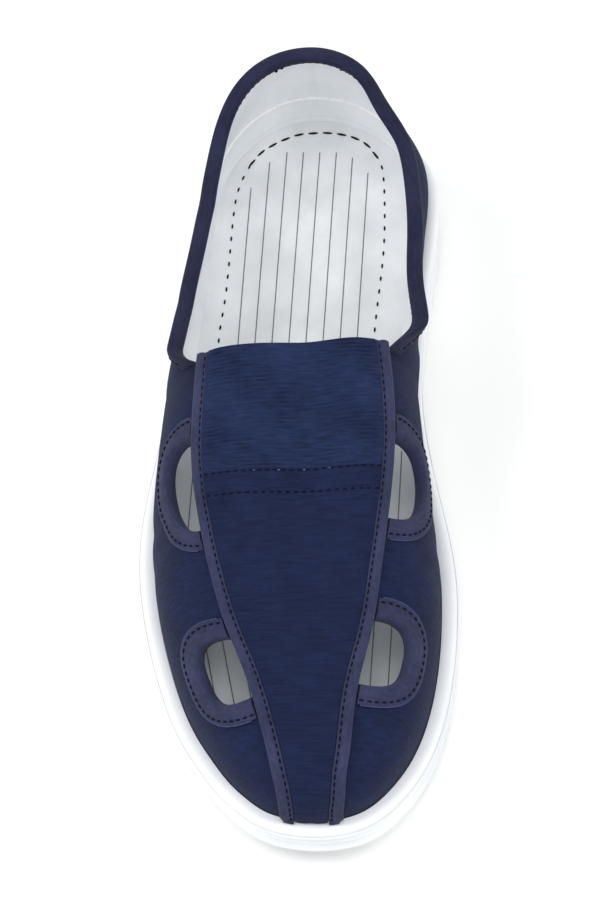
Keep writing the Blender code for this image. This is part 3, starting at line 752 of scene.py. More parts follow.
# %% Outsole
SOLE_SIDE = (
    # height, out
    (0.00, -1.1),
    (0.07, 0.0),
    (0.30, 0.0),
    (0.35, -1.0),
    (0.43, -1.0),
    (0.48, -0.2),
    (0.56, -0.2),
    (0.61, -1.0),
    (0.69, -1.0),
    (0.75, 0.0),
    (0.94, 0.0),
)
LIP_PROFILE = (
    # distance in from the side, height above the lip, in mm
    (0.05, -1.55),
    (0.25, -0.95),
    (0.65, -0.40),
    (1.25, -0.05),
    (2.10, 0.12),
    (3.10, 0.05),
    (4.10, -0.15),
    (4.90, -0.35),
)
SOLE_STATIONS = 200
SIDE_SAMPLES = 64
ROUNDING = 5           # samples in the running mean
CUP_EDGE_DROP = 0.6    # mm from the lip's top down to the cup's upper edge
SOLE_SHARP = 40        # degrees


def swept_ring(angles, grow, height):
    return [np.stack([*rim(angles, side, grow), height], axis=-1) for side in (LATERAL, MEDIAL)]


def groove_grids():
    """Bowed bars cut out of the tread, each a closed box of its own."""
    boxes = []
    for spot, (first, last) in ((FOREFOOT_SPOT, FOREFOOT_GROOVES), (HEEL_SPOT, HEEL_GROOVES)):
        for count in range(first, last + 1):
            middle_y = (spot - 0.5) * SOLE_LENGTH + (count + 0.5) * TREAD_PITCH
            angle = station(middle_y / SOLE_LENGTH + 0.5)
            low_x = rim(angle, LATERAL)[0] + TREAD_RIM
            high_x = rim(angle, MEDIAL)[0] - TREAD_RIM
            cross = np.linspace(-1, 1, 25)
            x = (low_x + high_x) / 2 + cross * (high_x - low_x) / 2
            bow = middle_y - TREAD_SAG * (1 - cross ** 2) + TREAD_SAG / 2
            layers = []
            for height in (-2 * TREAD_DEPTH, TREAD_DEPTH):
                edges = []
                for edge in (-TREAD_GROOVE / 2, TREAD_GROOVE / 2):
                    y = bow + edge
                    turn = np.arccos(np.clip(-2 * y / SOLE_LENGTH, -1, 1))
                    edges.append(np.stack([x, y, ground(turn) + height], axis=-1))
                layers.append(np.stack(edges))
            boxes += plate_grids(layers[1], layers[0])
    return boxes


def make_sole():
    angles = np.linspace(0, math.pi, SOLE_STATIONS + 1)
    heights = np.linspace(0, SOLE_SIDE[-1][0], SIDE_SAMPLES)
    outs = np.interp(heights, column(SOLE_SIDE, 0), column(SOLE_SIDE, 1))
    padded = np.pad(outs, ROUNDING // 2, mode="edge")
    outs = np.convolve(padded, np.ones(ROUNDING) / ROUNDING, mode="valid")
    outs[0] = SOLE_SIDE[0][1]
    low, high = ground(angles), lip(angles)
    rings = [swept_ring(angles, out * SIDE_STEP, low + share * (high - low))
             for share, out in zip(heights, outs)]
    for inwards, rise in LIP_PROFILE:
        rings.append(swept_ring(angles, -inwards * MM, high + rise * MM))
    rings.append(swept_ring(angles, SEAT_GAP - LIP_WIDTH, high - CUP_EDGE_DROP * MM))
    rings.append(swept_ring(angles, SEAT_GAP - LIP_WIDTH, seat(angles)))
    grids = []
    for side in (0, 1):
        wall = np.stack([ring[side] for ring in rings], axis=1)
        grids.append((wall, flat_place(wall), 0))
    for ring in (rings[0], rings[-1]):
        floor_grid = np.stack(ring, axis=1)
        grids.append((floor_grid, flat_place(floor_grid), 0))
    sole = make_piece("sole_unit", grids, [sole_foam], sharp=SOLE_SHARP)
    return cut_out(sole, make_piece("tread_cutter", groove_grids(), [sole_foam]), SOLE_SHARP)


stand_for(make_sole(), "moulded_white_sole", "outsole")

# %% [markdown]
# ## The insole and its sock
# A foam sheet covered with knit lies in the sole's cup. The last presses it up against the lining, so
# there is no sharp corner at the wall but a soft hollow, made here as rings that climb a quarter of an
# ellipse.

# %% Insole
FILLET_WIDTH = 0.007
FILLET_ROW = 0.06
FILLET_RINGS = 14
FILLET_LEAST = 0.0005    # the hollow rises at least this far above the sock
INSOLE_STATIONS = 200
INSOLE_COLUMNS = 48
WALL_GAP = 0.00005


def insole_rings(angles, side):
    """From the foam's lower edge up along the lining, then inwards and down to the flat middle."""
    edge = -LIP_WIDTH - WALL - WALL_GAP
    base = seat(angles) + SEAT_GAP
    wall = side_point(angles, side, FILLET_ROW, -WALL - WALL_GAP)
    wall[..., 2] = np.maximum(wall[..., 2], base + INSOLE_THICKNESS + FILLET_LEAST)
    lean = wall[..., :2] - np.stack(rim(angles, side, edge), axis=-1)
    rings = [np.stack([*rim(angles, side, edge), base], axis=-1)]
    for count in range(FILLET_RINGS + 1):
        share = 1 - math.cos(math.pi / 2 * count / FILLET_RINGS)
        height = 1 - math.sqrt(1 - (1 - share) ** 2)
        flat = np.stack(rim(angles, side, edge - FILLET_WIDTH * share), axis=-1)
        flat = flat + lean * (1 - share) ** 2
        z = base + INSOLE_THICKNESS + (wall[..., 2] - base - INSOLE_THICKNESS) * height
        rings.append(np.concatenate([flat, z[..., None]], axis=-1))
    return np.stack(rings, axis=1)


def make_insole():
    angles = np.linspace(0, math.pi, INSOLE_STATIONS)
    sides = [insole_rings(angles, side) for side in (LATERAL, MEDIAL)]
    grids = [(points, points[..., :2], 0) for points in sides]
    spread = np.linspace(0, 1, INSOLE_COLUMNS + 1)[None, :, None]
    for place in (0, -1):
        flat = sides[0][:, place][:, None] * (1 - spread) + sides[1][:, place][:, None] * spread
        grids.append((flat, flat[..., :2], 0))
    return make_piece("insole_sock", grids, [sock])


insole = stand_for(make_insole(), "insole_cloth", "insole")
insole_tree = BVHTree.FromObject(insole, bpy.context.evaluated_depsgraph_get())

# %% [markdown]
# ## The upper
# Navy canvas outside and white lining inside, sewn together and pulled over the last, with the edges
# glued down into the sole's cup. The shell is one closed mesh: an outer and an inner face, joined along
# the foot, the collar and the front edge. The four cut-outs are taken out of it with a Boolean.

# %% Upper shell
FRONT_STEPS = 100
REAR_STEPS = 80
SIDE_ROWS = 30
CROWN_ROWS = 12
VENT_STEPS = 41
VENT_END = 0.004       # radians left out at both ends of a cut-out's half turn
VENT_TURN = 0.002      # radians to either side, for the edge's direction
REACH = 0.004          # how far the cutters stand out of the shell
SHELL_SHARP = 50       # degrees


def fine_stations():
    throat = station(THROAT)
    return np.linspace(0, throat, FRONT_STEPS + 1), np.linspace(throat, math.pi, REAR_STEPS + 1)


def shell_face(angles, side, lift, has_top):
    x, y = rim(angles, side, lift - LIP_WIDTH)
    rows = [np.stack([x, y, seat(angles) + SEAT_GAP], axis=-1)]
    for count in range(SIDE_ROWS + 1):
        rows.append(side_point(angles, side, math.sin(math.pi / 2 * count / SIDE_ROWS), lift))
    if has_top:
        shares = [count / CROWN_ROWS for count in range(1, CROWN_ROWS + 1)]
        rows += [crown_point(angles, side, share, lift) for share in shares]
    return crease(np.stack(rows, axis=1))


def vent_path(place, half, depth, skew, slant, phi):
    """A cut-out's edge, laid flat: distance along the shoe and distance out from the strip."""
    lean = np.sign(np.cos(phi)) * np.abs(np.cos(phi)) ** (2 / VENT_FULLNESS)
    out = np.clip(np.sin(phi), 0, 1) ** (2 / VENT_FULLNESS)
    run = (place + half * (lean - slant * out * (1 - lean) / 2)) * SOLE_LENGTH
    return np.array([run, depth * VENT_DEPTH * out * (1 + skew * lean)])


def vent_points(vent, offset, start, steps=VENT_STEPS):
    """The cut-out's edge moved outwards by offset, never nearer to the strip than start."""
    points = []
    for phi in np.linspace(VENT_END, math.pi - VENT_END, steps):
        here = vent_path(*vent[2:], phi)
        run = vent_path(*vent[2:], phi + VENT_TURN) - vent_path(*vent[2:], phi - VENT_TURN)
        out = np.array([-run[1], run[0]]) / np.hypot(*run)
        point = here - out * offset
        points.append((point[0], max(point[1], start)))
    return points


def on_shell(vent, flat, lift):
    """The points of a flat line beside the strip, laid on the shell."""
    line = [beside_strip(station(run / SOLE_LENGTH), vent[1], out, lift) for run, out in flat]
    return crease(np.array(line))


def vent_cutter():
    grids = []
    for vent in VENTS:
        edge = vent_points(vent, 0.0, SEAT_GAP)
        edge = [(edge[0][0], -VENT_UNDERLAP)] + edge + [(edge[-1][0], -VENT_UNDERLAP)]
        middle = np.mean(edge, axis=0)
        layers = []
        for lift in (REACH, -WALL - REACH):
            for flat in (edge, [middle] * len(edge)):
                points = on_shell(vent, flat, lift)
                layers.append(np.concatenate([points, points[:1]]))
        grid = np.stack([layers[1], layers[0], layers[2], layers[3]])
        grids.append((grid, flat_place(grid), 0))
    return make_piece("vent_cutter", grids, [canvas])


def make_upper():
    front, rear = fine_stations()
    grids = []
    for side in (LATERAL, MEDIAL):
        start = 0.0
        for angles, has_top in ((front, True), (rear, False)):
            faces = [shell_face(angles, side, lift, has_top) for lift in (0.0, -WALL)]
            flats = [flat_place(face, start) for face in faces]
            start = flats[0][-1, 0, 0]
            grids += [(faces[0], flats[0], 0), (faces[1], flats[1], 1)]
            edges = [(np.s_[:, 0], 1)]
            edges += [(np.s_[-1, SIDE_ROWS + 1:], 0)] if has_top else [(np.s_[:, -1], 0)]
            for cut, number in edges:
                edge = np.stack([faces[0][cut], faces[1][cut]])
                grids.append((edge, np.stack([flats[0][cut], flats[1][cut]]), number))
    upper = make_piece("upper_canvas_shell", grids, [canvas, lining])
    return cut_out(upper, vent_cutter(), SHELL_SHARP)


stand_for(make_upper(), "navy_canvas", "upper")

# %% [markdown]
# ## The strip and the elastic
# A strip of canvas covers the middle of the vamp, where two halves of the shell would meet. Its rear end
# is turned under and sewn over a wide elastic, which lets the foot in. The elastic is woven with tight
# cords, and its ribs run across the foot. They are real relief here, because they catch the light.

# %% Strip and elastic
STRIP_COLUMNS = 16
TOE_TURN = 0.4               # radians: the stations are closer together in front of this
ELASTIC_UNDERLAP = 0.002     # share of the sole's length by which the elastic runs under the strip
RIB_PITCH = 0.00125
RIB_RELIEF = 0.00030
RIB_WAVES = (
    # bend of the cords in radians, its change across the elastic, its change in a metre along it
    (0.9, 5.0, 170.0),
    (0.5, 0.0, 420.0),
)
SEAM_BAND = 0.030        # length of the doubled cloth, as a share of the sole
SEAM_RELIEF = 0.00035
SEAM_STEEPNESS = 25      # of the step where the doubled cloth begins
SEAM_END_REACH = 0.08    # share of the band that turns down at the end
SEAM_END_DIP = 0.7


def strip_lines(angles, side, outer_half, inner_half, count, lifts):
    """Lines on the shell between two distances from the crown: lifts gives each line its lift."""
    low = np.maximum(strip_theta(angles, side, outer_half), lowest_theta(angles, side))
    high = np.maximum(strip_theta(angles, side, inner_half), low)
    return [arch_point(angles, side, low + (high - low) * row / count, lifts(row / count))
            for row in range(count + 1)]


def strip_face(angles, half, relief):
    """A face across the whole strip: relief gives a lift for (station, side share) places."""
    sides = []
    for side in (LATERAL, MEDIAL):
        sides.append(strip_lines(angles, side, half, 0 * half, STRIP_COLUMNS,
                                 lambda row: relief(angles, side, row)))
    return crease(np.stack(sides[0] + sides[1][-2::-1], axis=1))


def cloth_half(angles):
    return strip_half(angles) - STRIP_TAPE_WIDTH * tape_share(along(angles)) - SEAT_GAP / 2


def seam_relief(angles, side, row):
    """The canvas is doubled along its rear end, and turns down at the seam itself."""
    back = (ELASTIC_SEAM - along(angles)) / SEAM_BAND
    band = 1 / (1 + np.exp((back - 1) * SEAM_STEEPNESS))
    ends = np.exp(-(back / SEAM_END_REACH) ** 2)
    return SEAT_GAP + STRIP_THICKNESS + SEAM_RELIEF * (band - SEAM_END_DIP * ends)


def rib_relief(angles, side, row):
    """Cords across the elastic, uneven where it has been gathered."""
    run = along(angles) * SOLE_LENGTH
    across = side * (1 - row)
    phase = run / RIB_PITCH * 2 * math.pi
    for bend, change_across, change_along in RIB_WAVES:
        phase = phase + bend * np.sin(across * change_across + run * change_along)
    strength = 0.6 + 0.4 * np.sin(run * 260 + across * 4.0)
    edge = np.clip((1 - np.abs(across)) * 8, 0.35, 1)
    return SEAT_GAP + ELASTIC_THICKNESS + RIB_RELIEF * np.sin(phase) * strength * edge


def make_band(name, angles, relief, cloth, sharp):
    """A band of cloth over the crown, as wide as the tapes leave it."""
    half = cloth_half(angles)
    outer = strip_face(angles, half, relief)
    inner = strip_face(angles, half, lambda angles, side, row: SEAT_GAP + 0 * angles)
    return make_piece(name, plate_grids(outer, inner), [cloth], sharp=sharp)


toe_end = np.linspace(STRIP_TOE, TOE_TURN, 30)
strip_angles = np.concatenate([toe_end, np.linspace(TOE_TURN, station(ELASTIC_SEAM), 90)[1:]])
elastic_angles = np.linspace(station(ELASTIC_SEAM - ELASTIC_UNDERLAP),
                             station(THROAT + ELASTIC_OVERHANG / SOLE_LENGTH), 260)
stand_for(make_band("vamp_strip_cloth", strip_angles, seam_relief, strip_canvas, 50),
          "navy_canvas", "vamp_strip")
stand_for(make_band("instep_elastic_web", elastic_angles, rib_relief, ribbed, 75),
          "navy_elastic", "instep_elastic")

# %% [markdown]
# ## The tapes
# Every raw edge is covered by a cotton tape, folded in half over it and sewn through. Along the strip
# the fold stands up as a narrow ridge. Each tape is a rounded section swept along its edge. Where the
# stitches pull it down, the section has a shallow groove.

# %% Tapes along the strip
STRIP_TAPE_PROFILE = (
    # share of the way from the outer edge, lift as a share of the thickness
    (0.00, 0.10),
    (0.04, 0.62),
    (0.12, 0.95),
    (0.28, 1.12),
    (0.48, 1.10),
    (0.64, 0.92),
    (0.74, 0.60),
    (0.80, 0.58),
    (0.88, 0.74),
    (0.96, 0.60),
    (1.00, 0.10),
)
TAPE_TURN = 0.5     # radians: the tape starts in front of this station
TAPE_ROOM = 0.05    # radians of the section that the tape needs above the lip
TAPE_SHARP = 65     # degrees


def tape_start(side):
    """First station where the sole's lip leaves room for the whole width of the strip's tape."""
    for angle in np.linspace(0.02, TAPE_TURN, 200):
        inner = strip_half(angle) - STRIP_TAPE_WIDTH * tape_share(along(angle))
        if strip_theta(angle, side, inner) > lowest_theta(angle, side) + TAPE_ROOM:
            return float(angle)
    return TAPE_TURN


def tape_stations(side):
    last = station(THROAT + ELASTIC_OVERHANG / SOLE_LENGTH)
    front = np.linspace(tape_start(side), TAPE_TURN, 20)
    return np.concatenate([front, np.linspace(TAPE_TURN, last, 150)[1:]])


def strip_tape_line(angles, side, share, lift):
    """A line along the strip's tape: share is 0 at its outer edge and 1 at its inner edge."""
    half = strip_half(angles)
    width = STRIP_TAPE_WIDTH * tape_share(along(angles))
    theta = np.maximum(strip_theta(angles, side, half - width * share), lowest_theta(angles, side))
    return arch_point(angles, side, theta, lift)


def make_strip_tape(name, side):
    angles = tape_stations(side)
    shares = np.linspace(0, 1, 25)
    lifts = np.interp(shares, column(STRIP_TAPE_PROFILE, 0), column(STRIP_TAPE_PROFILE, 1))
    outer = [strip_tape_line(angles, side, share, SEAT_GAP + STRIP_TAPE_THICKNESS * lift)
             for share, lift in zip(shares, lifts)]
    inner = [strip_tape_line(angles, side, share, SEAT_GAP) for share in shares]
    faces = [crease(np.stack(lines, axis=1)) for lines in (outer, inner)]
    return make_piece(name, plate_grids(*faces), [tape], sharp=TAPE_SHARP)


for label, side in (("lateral", LATERAL), ("medial", MEDIAL)):
    stand_for(make_strip_tape("strip_tape_" + label, side), "navy_tape", "strip_binding_" + label)

# %% Tapes folded over the cut-outs and the collar
FOLD_PROFILE = (
    # offset from the edge as a share of the leg, lift in mm for the collar's tape and the cut-outs' tape
    (1.00, 0.35, 0.32),
    (0.97, 0.80, 0.72),
    (0.88, 1.10, 0.92),
    (0.72, 1.00, 0.80),
    (0.55, 1.45, 1.05),
    (0.30, 1.65, 1.15),
    (0.08, 1.50, 1.08),
)
FOLD_STEPS = 10
INNER_FLAP = 0.8         # length of the leg inside the shoe, as a share of the leg outside
COLLAR_FOLD = 0.0013     # how far the fold stands past the edge
VENT_FOLD = 0.0011
FINE_VENT_STEPS = 61


def folded_profile(width, number, turn):
    """Section of a tape folded over the shell's edge, as two lists of (offset, lift)."""
    leg = [(row[0] * width, row[number] * MM) for row in FOLD_PROFILE]
    middle = -WALL / 2
    start, reach = leg[-1][0], leg[-1][1] - middle
    outer = list(leg)
    for step in range(1, FOLD_STEPS):
        swing = math.pi * step / FOLD_STEPS
        outer.append((start - turn * math.sin(swing), middle + reach * math.cos(swing)))
    outer += [(offset * INNER_FLAP, 2 * middle - lift) for offset, lift in leg[::-1]]
    spread = np.linspace(0, 1, len(outer))
    inner_path = [(width, SEAT_GAP), (-SEAT_GAP, SEAT_GAP), (-SEAT_GAP, -WALL - SEAT_GAP),
                  (width * INNER_FLAP, -WALL - SEAT_GAP)]
    inner_offset = np.interp(spread, (0, 0.4, 0.6, 1), column(inner_path, 0))
    inner_lift = np.interp(spread, (0, 0.4, 0.6, 1), column(inner_path, 1))
    return outer, list(zip(inner_offset, inner_lift))


def make_vent_tape(vent):
    faces = []
    for line in folded_profile(VENT_TAPE_WIDTH, 2, VENT_FOLD):
        rows = [on_shell(vent, vent_points(vent, offset, 2 * SEAT_GAP, FINE_VENT_STEPS), lift)
                for offset, lift in line]
        faces.append(np.stack(rows, axis=1))
    return make_piece("vent_tape_" + vent[0], plate_grids(*faces), [tape], sharp=TAPE_SHARP)


CORNER_TUCK = 0.0004     # the collar's tape starts this far behind the throat
CORNER_POINTS = 34
CORNER_CROWDING = 1.6
COLLAR_POINTS = 90


def collar_stations():
    """Close together at the front corners, where the tape turns and dives below the strip's tape."""
    first = station(THROAT + CORNER_TUCK / SOLE_LENGTH)
    corner = station(THROAT + max(CORNERS.values()) / SOLE_LENGTH)
    turn = first + (corner - first) * np.linspace(0, 1, CORNER_POINTS) ** CORNER_CROWDING
    return np.concatenate([turn, np.linspace(corner, math.pi, COLLAR_POINTS)[1:]])


def collar_line(offset, lift):
    """A line round the collar, offset down from its edge, from the lateral to the medial corner."""
    angles = collar_stations()
    height = HEEL_HEIGHT * collar_share(along(angles)) - lip(angles)
    halves = [side_point(angles, side, 1 - offset / height, lift) for side in (LATERAL, MEDIAL)]
    return crease(np.concatenate([halves[0], halves[1][-2::-1]]))


def make_collar_tape():
    faces = []
    for line in folded_profile(COLLAR_TAPE_WIDTH, 1, COLLAR_FOLD):
        faces.append(np.stack([collar_line(offset, lift) for offset, lift in line], axis=1))
    return make_piece("collar_tape", plate_grids(*faces), [collar_cloth], sharp=TAPE_SHARP)


for vent in VENTS:
    stand_for(make_vent_tape(vent), "navy_tape", "vent_binding_" + vent[0])
stand_for(make_collar_tape(), "navy_tape", "collar_binding")

# %% [markdown]
# ## Stitches and threads
# A row of stitches is the same small thing again and again along a path, which is what Geometry Nodes
# are for. The first tree puts a bead of thread at even steps along a path, turned to follow it. The
# second gives a path a round section, for threads that lie unbroken on the cloth.

# %% Tree for a row of stitches


def start_tree(name, sizes):
    """A new tree with paths coming in, its named sizes and the thread's material."""
    tree = bpy.data.node_groups.new(name, 'GeometryNodeTree')
    sockets = tree.interface
    sockets.new_socket("Paths", in_out='INPUT', socket_type='NodeSocketGeometry')
    identifiers = {}
    for label, value in sizes.items():
        socket = sockets.new_socket(label, in_out='INPUT', socket_type='NodeSocketFloat')
        socket.default_value = value
        identifiers[label] = socket.identifier
    thread = sockets.new_socket("Thread", in_out='INPUT', socket_type='NodeSocketMaterial')
    identifiers["Thread"] = thread.identifier
    sockets.new_socket("Threads", in_out='OUTPUT', socket_type='NodeSocketGeometry')
    return tree, identifiers, add_node(tree, "NodeGroupInput")


def end_tree(tree, source, shape):
    """Makes the copies real and gives them the thread, because the export drops instances."""
    real = add_node(tree, "GeometryNodeRealizeInstances", links={"Geometry": shape.outputs[0]})
    dyed = add_node(tree, "GeometryNodeSetMaterial", links={
        "Geometry": real.outputs[0], "Material": source.outputs["Thread"]})
    add_node(tree, "NodeGroupOutput", links={0: dyed.outputs[0]})


def stitch_tree():
    tree, identifiers, source = start_tree("row_of_stitches", {
        "Pitch": 0.0021, "Stitch length": 0.0014, "Thread width": 0.0005})
    path = add_node(tree, "GeometryNodeMeshToCurve", links={"Mesh": source.outputs["Paths"]})
    steps = add_node(tree, "GeometryNodeResampleCurve",
                     links={"Curve": path.outputs[0], "Length": source.outputs["Pitch"]}, mode='LENGTH')
    bead = add_node(tree, "GeometryNodeMeshUVSphere", {"Segments": 8, "Rings": 6, "Radius": 0.5})
    rounded = add_node(tree, "GeometryNodeSetShadeSmooth", links={"Geometry": bead.outputs[0]})
    size = add_node(tree, "ShaderNodeCombineXYZ", links={
        "X": source.outputs["Stitch length"], "Y": source.outputs["Thread width"],
        "Z": source.outputs["Thread width"]})
    heading = add_node(tree, "GeometryNodeInputTangent")
    turned = add_node(tree, "FunctionNodeAlignRotationToVector",
                      links={"Vector": heading.outputs[0]}, axis='X')
    placed = add_node(tree, "GeometryNodeInstanceOnPoints", links={
        "Points": steps.outputs[0], "Instance": rounded.outputs[0],
        "Rotation": turned.outputs[0], "Scale": size.outputs[0]})
    end_tree(tree, source, placed)
    return tree, identifiers


def cord_tree():
    tree, identifiers, source = start_tree("thread_along_path", {"Thread width": 0.0005, "Step": 0.002})
    path = add_node(tree, "GeometryNodeMeshToCurve", links={"Mesh": source.outputs["Paths"]})
    steps = add_node(tree, "GeometryNodeResampleCurve",
                     links={"Curve": path.outputs[0], "Length": source.outputs["Step"]}, mode='LENGTH')
    half = add_node(tree, "ShaderNodeMath", {1: 0.5}, {0: source.outputs["Thread width"]},
                    operation='MULTIPLY')
    section = add_node(tree, "GeometryNodeCurvePrimitiveCircle", {"Resolution": 6},
                       {"Radius": half.outputs[0]})
    swept = add_node(tree, "GeometryNodeCurveToMesh", {"Fill Caps": True}, {
        "Curve": steps.outputs[0], "Profile Curve": section.outputs[0]})
    rounded = add_node(tree, "GeometryNodeSetShadeSmooth", links={"Geometry": swept.outputs[0]})
    end_tree(tree, source, rounded)
    return tree, identifiers


STITCHES = stitch_tree()
CORDS = cord_tree()


def sew(name, slot, paths, recipe, sizes, thread):
    """Runs a tree on some paths and keeps the result as a plain mesh that moves with the shoe."""
    verts, edges = [], []
    for path in paths:
        edges += [(len(verts) + place, len(verts) + place + 1) for place in range(len(path) - 1)]
        verts += np.asarray(path).tolist()
    mesh = bpy.data.meshes.new(name)
    mesh.from_pydata(verts, edges, [])
    piece = bpy.data.objects.new(name, mesh)
    bpy.context.scene.collection.objects.link(piece)
    tree, identifiers = recipe
    modifier = piece.modifiers.new("sewing", 'NODES')
    modifier.node_group = tree
    for label, value in sizes.items():
        modifier[identifiers[label]] = value
    modifier[identifiers["Thread"]] = thread
    return stand_for(applied(piece), slot)


# %% [markdown]
# ### Where the rows run
# On each cut-out the tape is sewn down close to its outer edge, and the cut edge of the tape shows as
# a paler line outside the stitches. The strip's tapes are sewn at their inner edge. The collar's tape is
# sewn near its lower edge, through both legs. The elastic's seam has two rows across the strip.

# %% Lines for the sewing on the upper
# where each row lies, as a share of its tape's width, and how high above the shell
VENT_STITCH, VENT_STITCH_LIFT = 0.76, 0.00095
STRIP_STITCH, STRIP_STITCH_LIFT = 0.78, 0.00100
COLLAR_STITCH, COLLAR_STITCH_LIFT = 0.74, 0.0011
CUT_EDGE, CUT_EDGE_LIFT = 1.01, 0.00055
FLECK_EDGE, FLECK_LIFT = 1.04, 0.0005
CROSS_ROWS = (0.0035, 0.0290)    # in front of the elastic's seam, as shares of the sole's length
CROSS_REACH, CROSS_LIFT = 0.97, 0.00005
SEAM_END = 8       # points of the collar's line without stitches, at both ends
FLECK_END = 15     # and without flecks


def vent_line(vent, share, lift):
    flat = vent_points(vent, VENT_TAPE_WIDTH * share, 4 * SEAT_GAP, FINE_VENT_STEPS)
    inside = [point for point in flat if point[1] > 5 * SEAT_GAP]
    return on_shell(vent, inside, lift)


def cross_line(share):
    """A row of sewing across the strip, through doubled canvas."""
    line = []
    for place in np.linspace(-CROSS_REACH, CROSS_REACH, 60):
        side = MEDIAL if place > 0 else LATERAL
        angle = station(share)
        half = float(cloth_half(angle)) * abs(place)
        lift = float(seam_relief(np.array(angle), side, 0)) + CROSS_LIFT
        line.append(arch_point(np.array(angle), side, strip_theta(angle, side, half), lift))
    return crease(np.array(line))


def strip_seam(side):
    angles = tape_stations(side)[1:-2]
    return crease(strip_tape_line(angles, side, STRIP_STITCH, SEAT_GAP + STRIP_STITCH_LIFT))


def collar_seam(leg, lift, end):
    return collar_line(COLLAR_TAPE_WIDTH * leg, lift)[end:-end]


tape_seams = [vent_line(vent, VENT_STITCH, VENT_STITCH_LIFT) for vent in VENTS]
tape_seams += [strip_seam(side) for side in (LATERAL, MEDIAL)]
tape_seams.append(collar_seam(COLLAR_STITCH, COLLAR_STITCH_LIFT, SEAM_END))
tape_seams.append(collar_seam(COLLAR_STITCH * INNER_FLAP, -WALL - COLLAR_STITCH_LIFT, SEAM_END))
cross_seams = [cross_line(ELASTIC_SEAM - share) for share in CROSS_ROWS]
fleck_lines = cross_seams + [collar_seam(FLECK_EDGE, FLECK_LIFT, FLECK_END)]
edge_lines = [vent_line(vent, CUT_EDGE, CUT_EDGE_LIFT) for vent in VENTS]
print("rows on the tapes:", len(tape_seams), "across the strip:", len(cross_seams))

# %% Sewing on the upper
sew("tape_stitches", "navy_tape", tape_seams, STITCHES, {
    "Pitch": 0.0023, "Stitch length": 0.0016, "Thread width": 0.00062}, navy_thread)
sew("elastic_seam_stitches", "navy_tape", cross_seams, STITCHES, {
    "Pitch": 0.0024, "Stitch length": 0.0016, "Thread width": 0.00055}, navy_thread)
sew("pale_thread_flecks", "navy_tape", fleck_lines, STITCHES, {
    "Pitch": 0.0071, "Stitch length": 0.0008, "Thread width": 0.00034}, edge_thread)
sew("tape_cut_edges", "navy_tape", edge_lines, CORDS, {
    "Thread width": 0.0005, "Step": 0.0015}, tape_thread)

# %% [markdown]
# ### The sock's threads
# Carbon threads are knitted into the sock every 5.6 mm and carry the charge from the foot to the sole.
# They are laid on the insole by dropping each point straight down until it meets the surface. A dashed
# row of stitches holds sock and foam together, a little in from the wall.

# %% Threads and stitches on the insole
THREAD_PITCH = 0.0056
THREAD_FIRST = -0.0233     # x of the first long thread, at THREAD_PIVOT
THREAD_PIVOT = 0.040
THREAD_LEAN = 0.024
THREAD_WIDTH = 0.00036
THREAD_STEP = 0.002
THREAD_FRONT = -0.108      # y of their front ends
THREAD_STARTS = (99.0, 110.0, 113.5, 113.5, 112.8, 112.8, 111.0, 106.0)    # y of the rear ends in mm
HIDDEN_START = 0.004       # y of the rear ends of the others
FAN_START = -0.052         # in front of this y the lateral threads draw together
FAN_SLOPE = 0.26
FAN_LIMIT = 0.004          # x up to which they do
THREAD_LIFT = 0.00004
SOCK_SEAM_LIFT = 0.00008
SOCK_SEAM = (
    # x, y in mm
    (-30.2, 8), (-29.9, 28), (-29.5, 44.8), (-28.2, 58.8), (-27.4, 82.8), (-26.1, 96.8),
    (-22.8, 105.8), (-17.8, 112.4), (-10.5, 117.1), (-4.5, 119.0), (5.4, 119.2), (15.3, 115.8),
    (20.1, 110.4), (22.6, 103.3), (23.7, 83.8), (23.2, 66.8), (21.7, 46.8), (21.3, 28), (21.6, 8),
)


def dropped(line, lift):
    """Points of a line seen from above, dropped on the insole: those that miss it are left out."""
    kept = []
    for x, y in line:
        hit = insole_tree.ray_cast(Vector((x, y, 0.1)), Vector((0, 0, -1)))[0]
        if hit is not None:
            kept.append((x, y, hit.z + lift))
    return kept


def sock_threads():
    """Lines from the toe back to the heel. The outer ones reach no further than the vamp hides."""
    lines = []
    for count in range(-2, 11):
        start = THREAD_STARTS[count] * MM if 0 <= count < len(THREAD_STARTS) else HIDDEN_START
        line = []
        for y in np.arange(THREAD_FRONT, start, THREAD_STEP):
            x = THREAD_FIRST + THREAD_PITCH * count + THREAD_LEAN * (y - THREAD_PIVOT)
            line.append((x + FAN_SLOPE * max(0.0, FAN_START - y) * (x < FAN_LIMIT), y))
        lines.append(dropped(line, THREAD_LIFT))
    return [line for line in lines if len(line) > 3]


def seam_path(first, last):
    knots = np.arange(len(SOCK_SEAM))
    x_at = spline(knots, np.array(column(SOCK_SEAM, 0)) * MM)
    y_at = spline(knots, np.array(column(SOCK_SEAM, 1)) * MM)
    places = np.linspace(first, last, 160)
    return dropped(list(zip(x_at(places), y_at(places))), SOCK_SEAM_LIFT)


sew("sock_carbon_threads", "insole_cloth", sock_threads(), CORDS, {
    "Thread width": THREAD_WIDTH, "Step": THREAD_STEP}, grey_thread)
sew("sock_side_stitches", "insole_cloth", [seam_path(0, 6), seam_path(12, 18)], STITCHES, {
    "Pitch": 0.0046, "Stitch length": 0.0019, "Thread width": 0.0007}, carbon_thread)
sew("sock_heel_stitches", "insole_cloth", [seam_path(6.2, 11.9)], STITCHES, {
    "Pitch": 0.0048, "Stitch length": 0.0037, "Thread width": 0.0008}, carbon_thread)
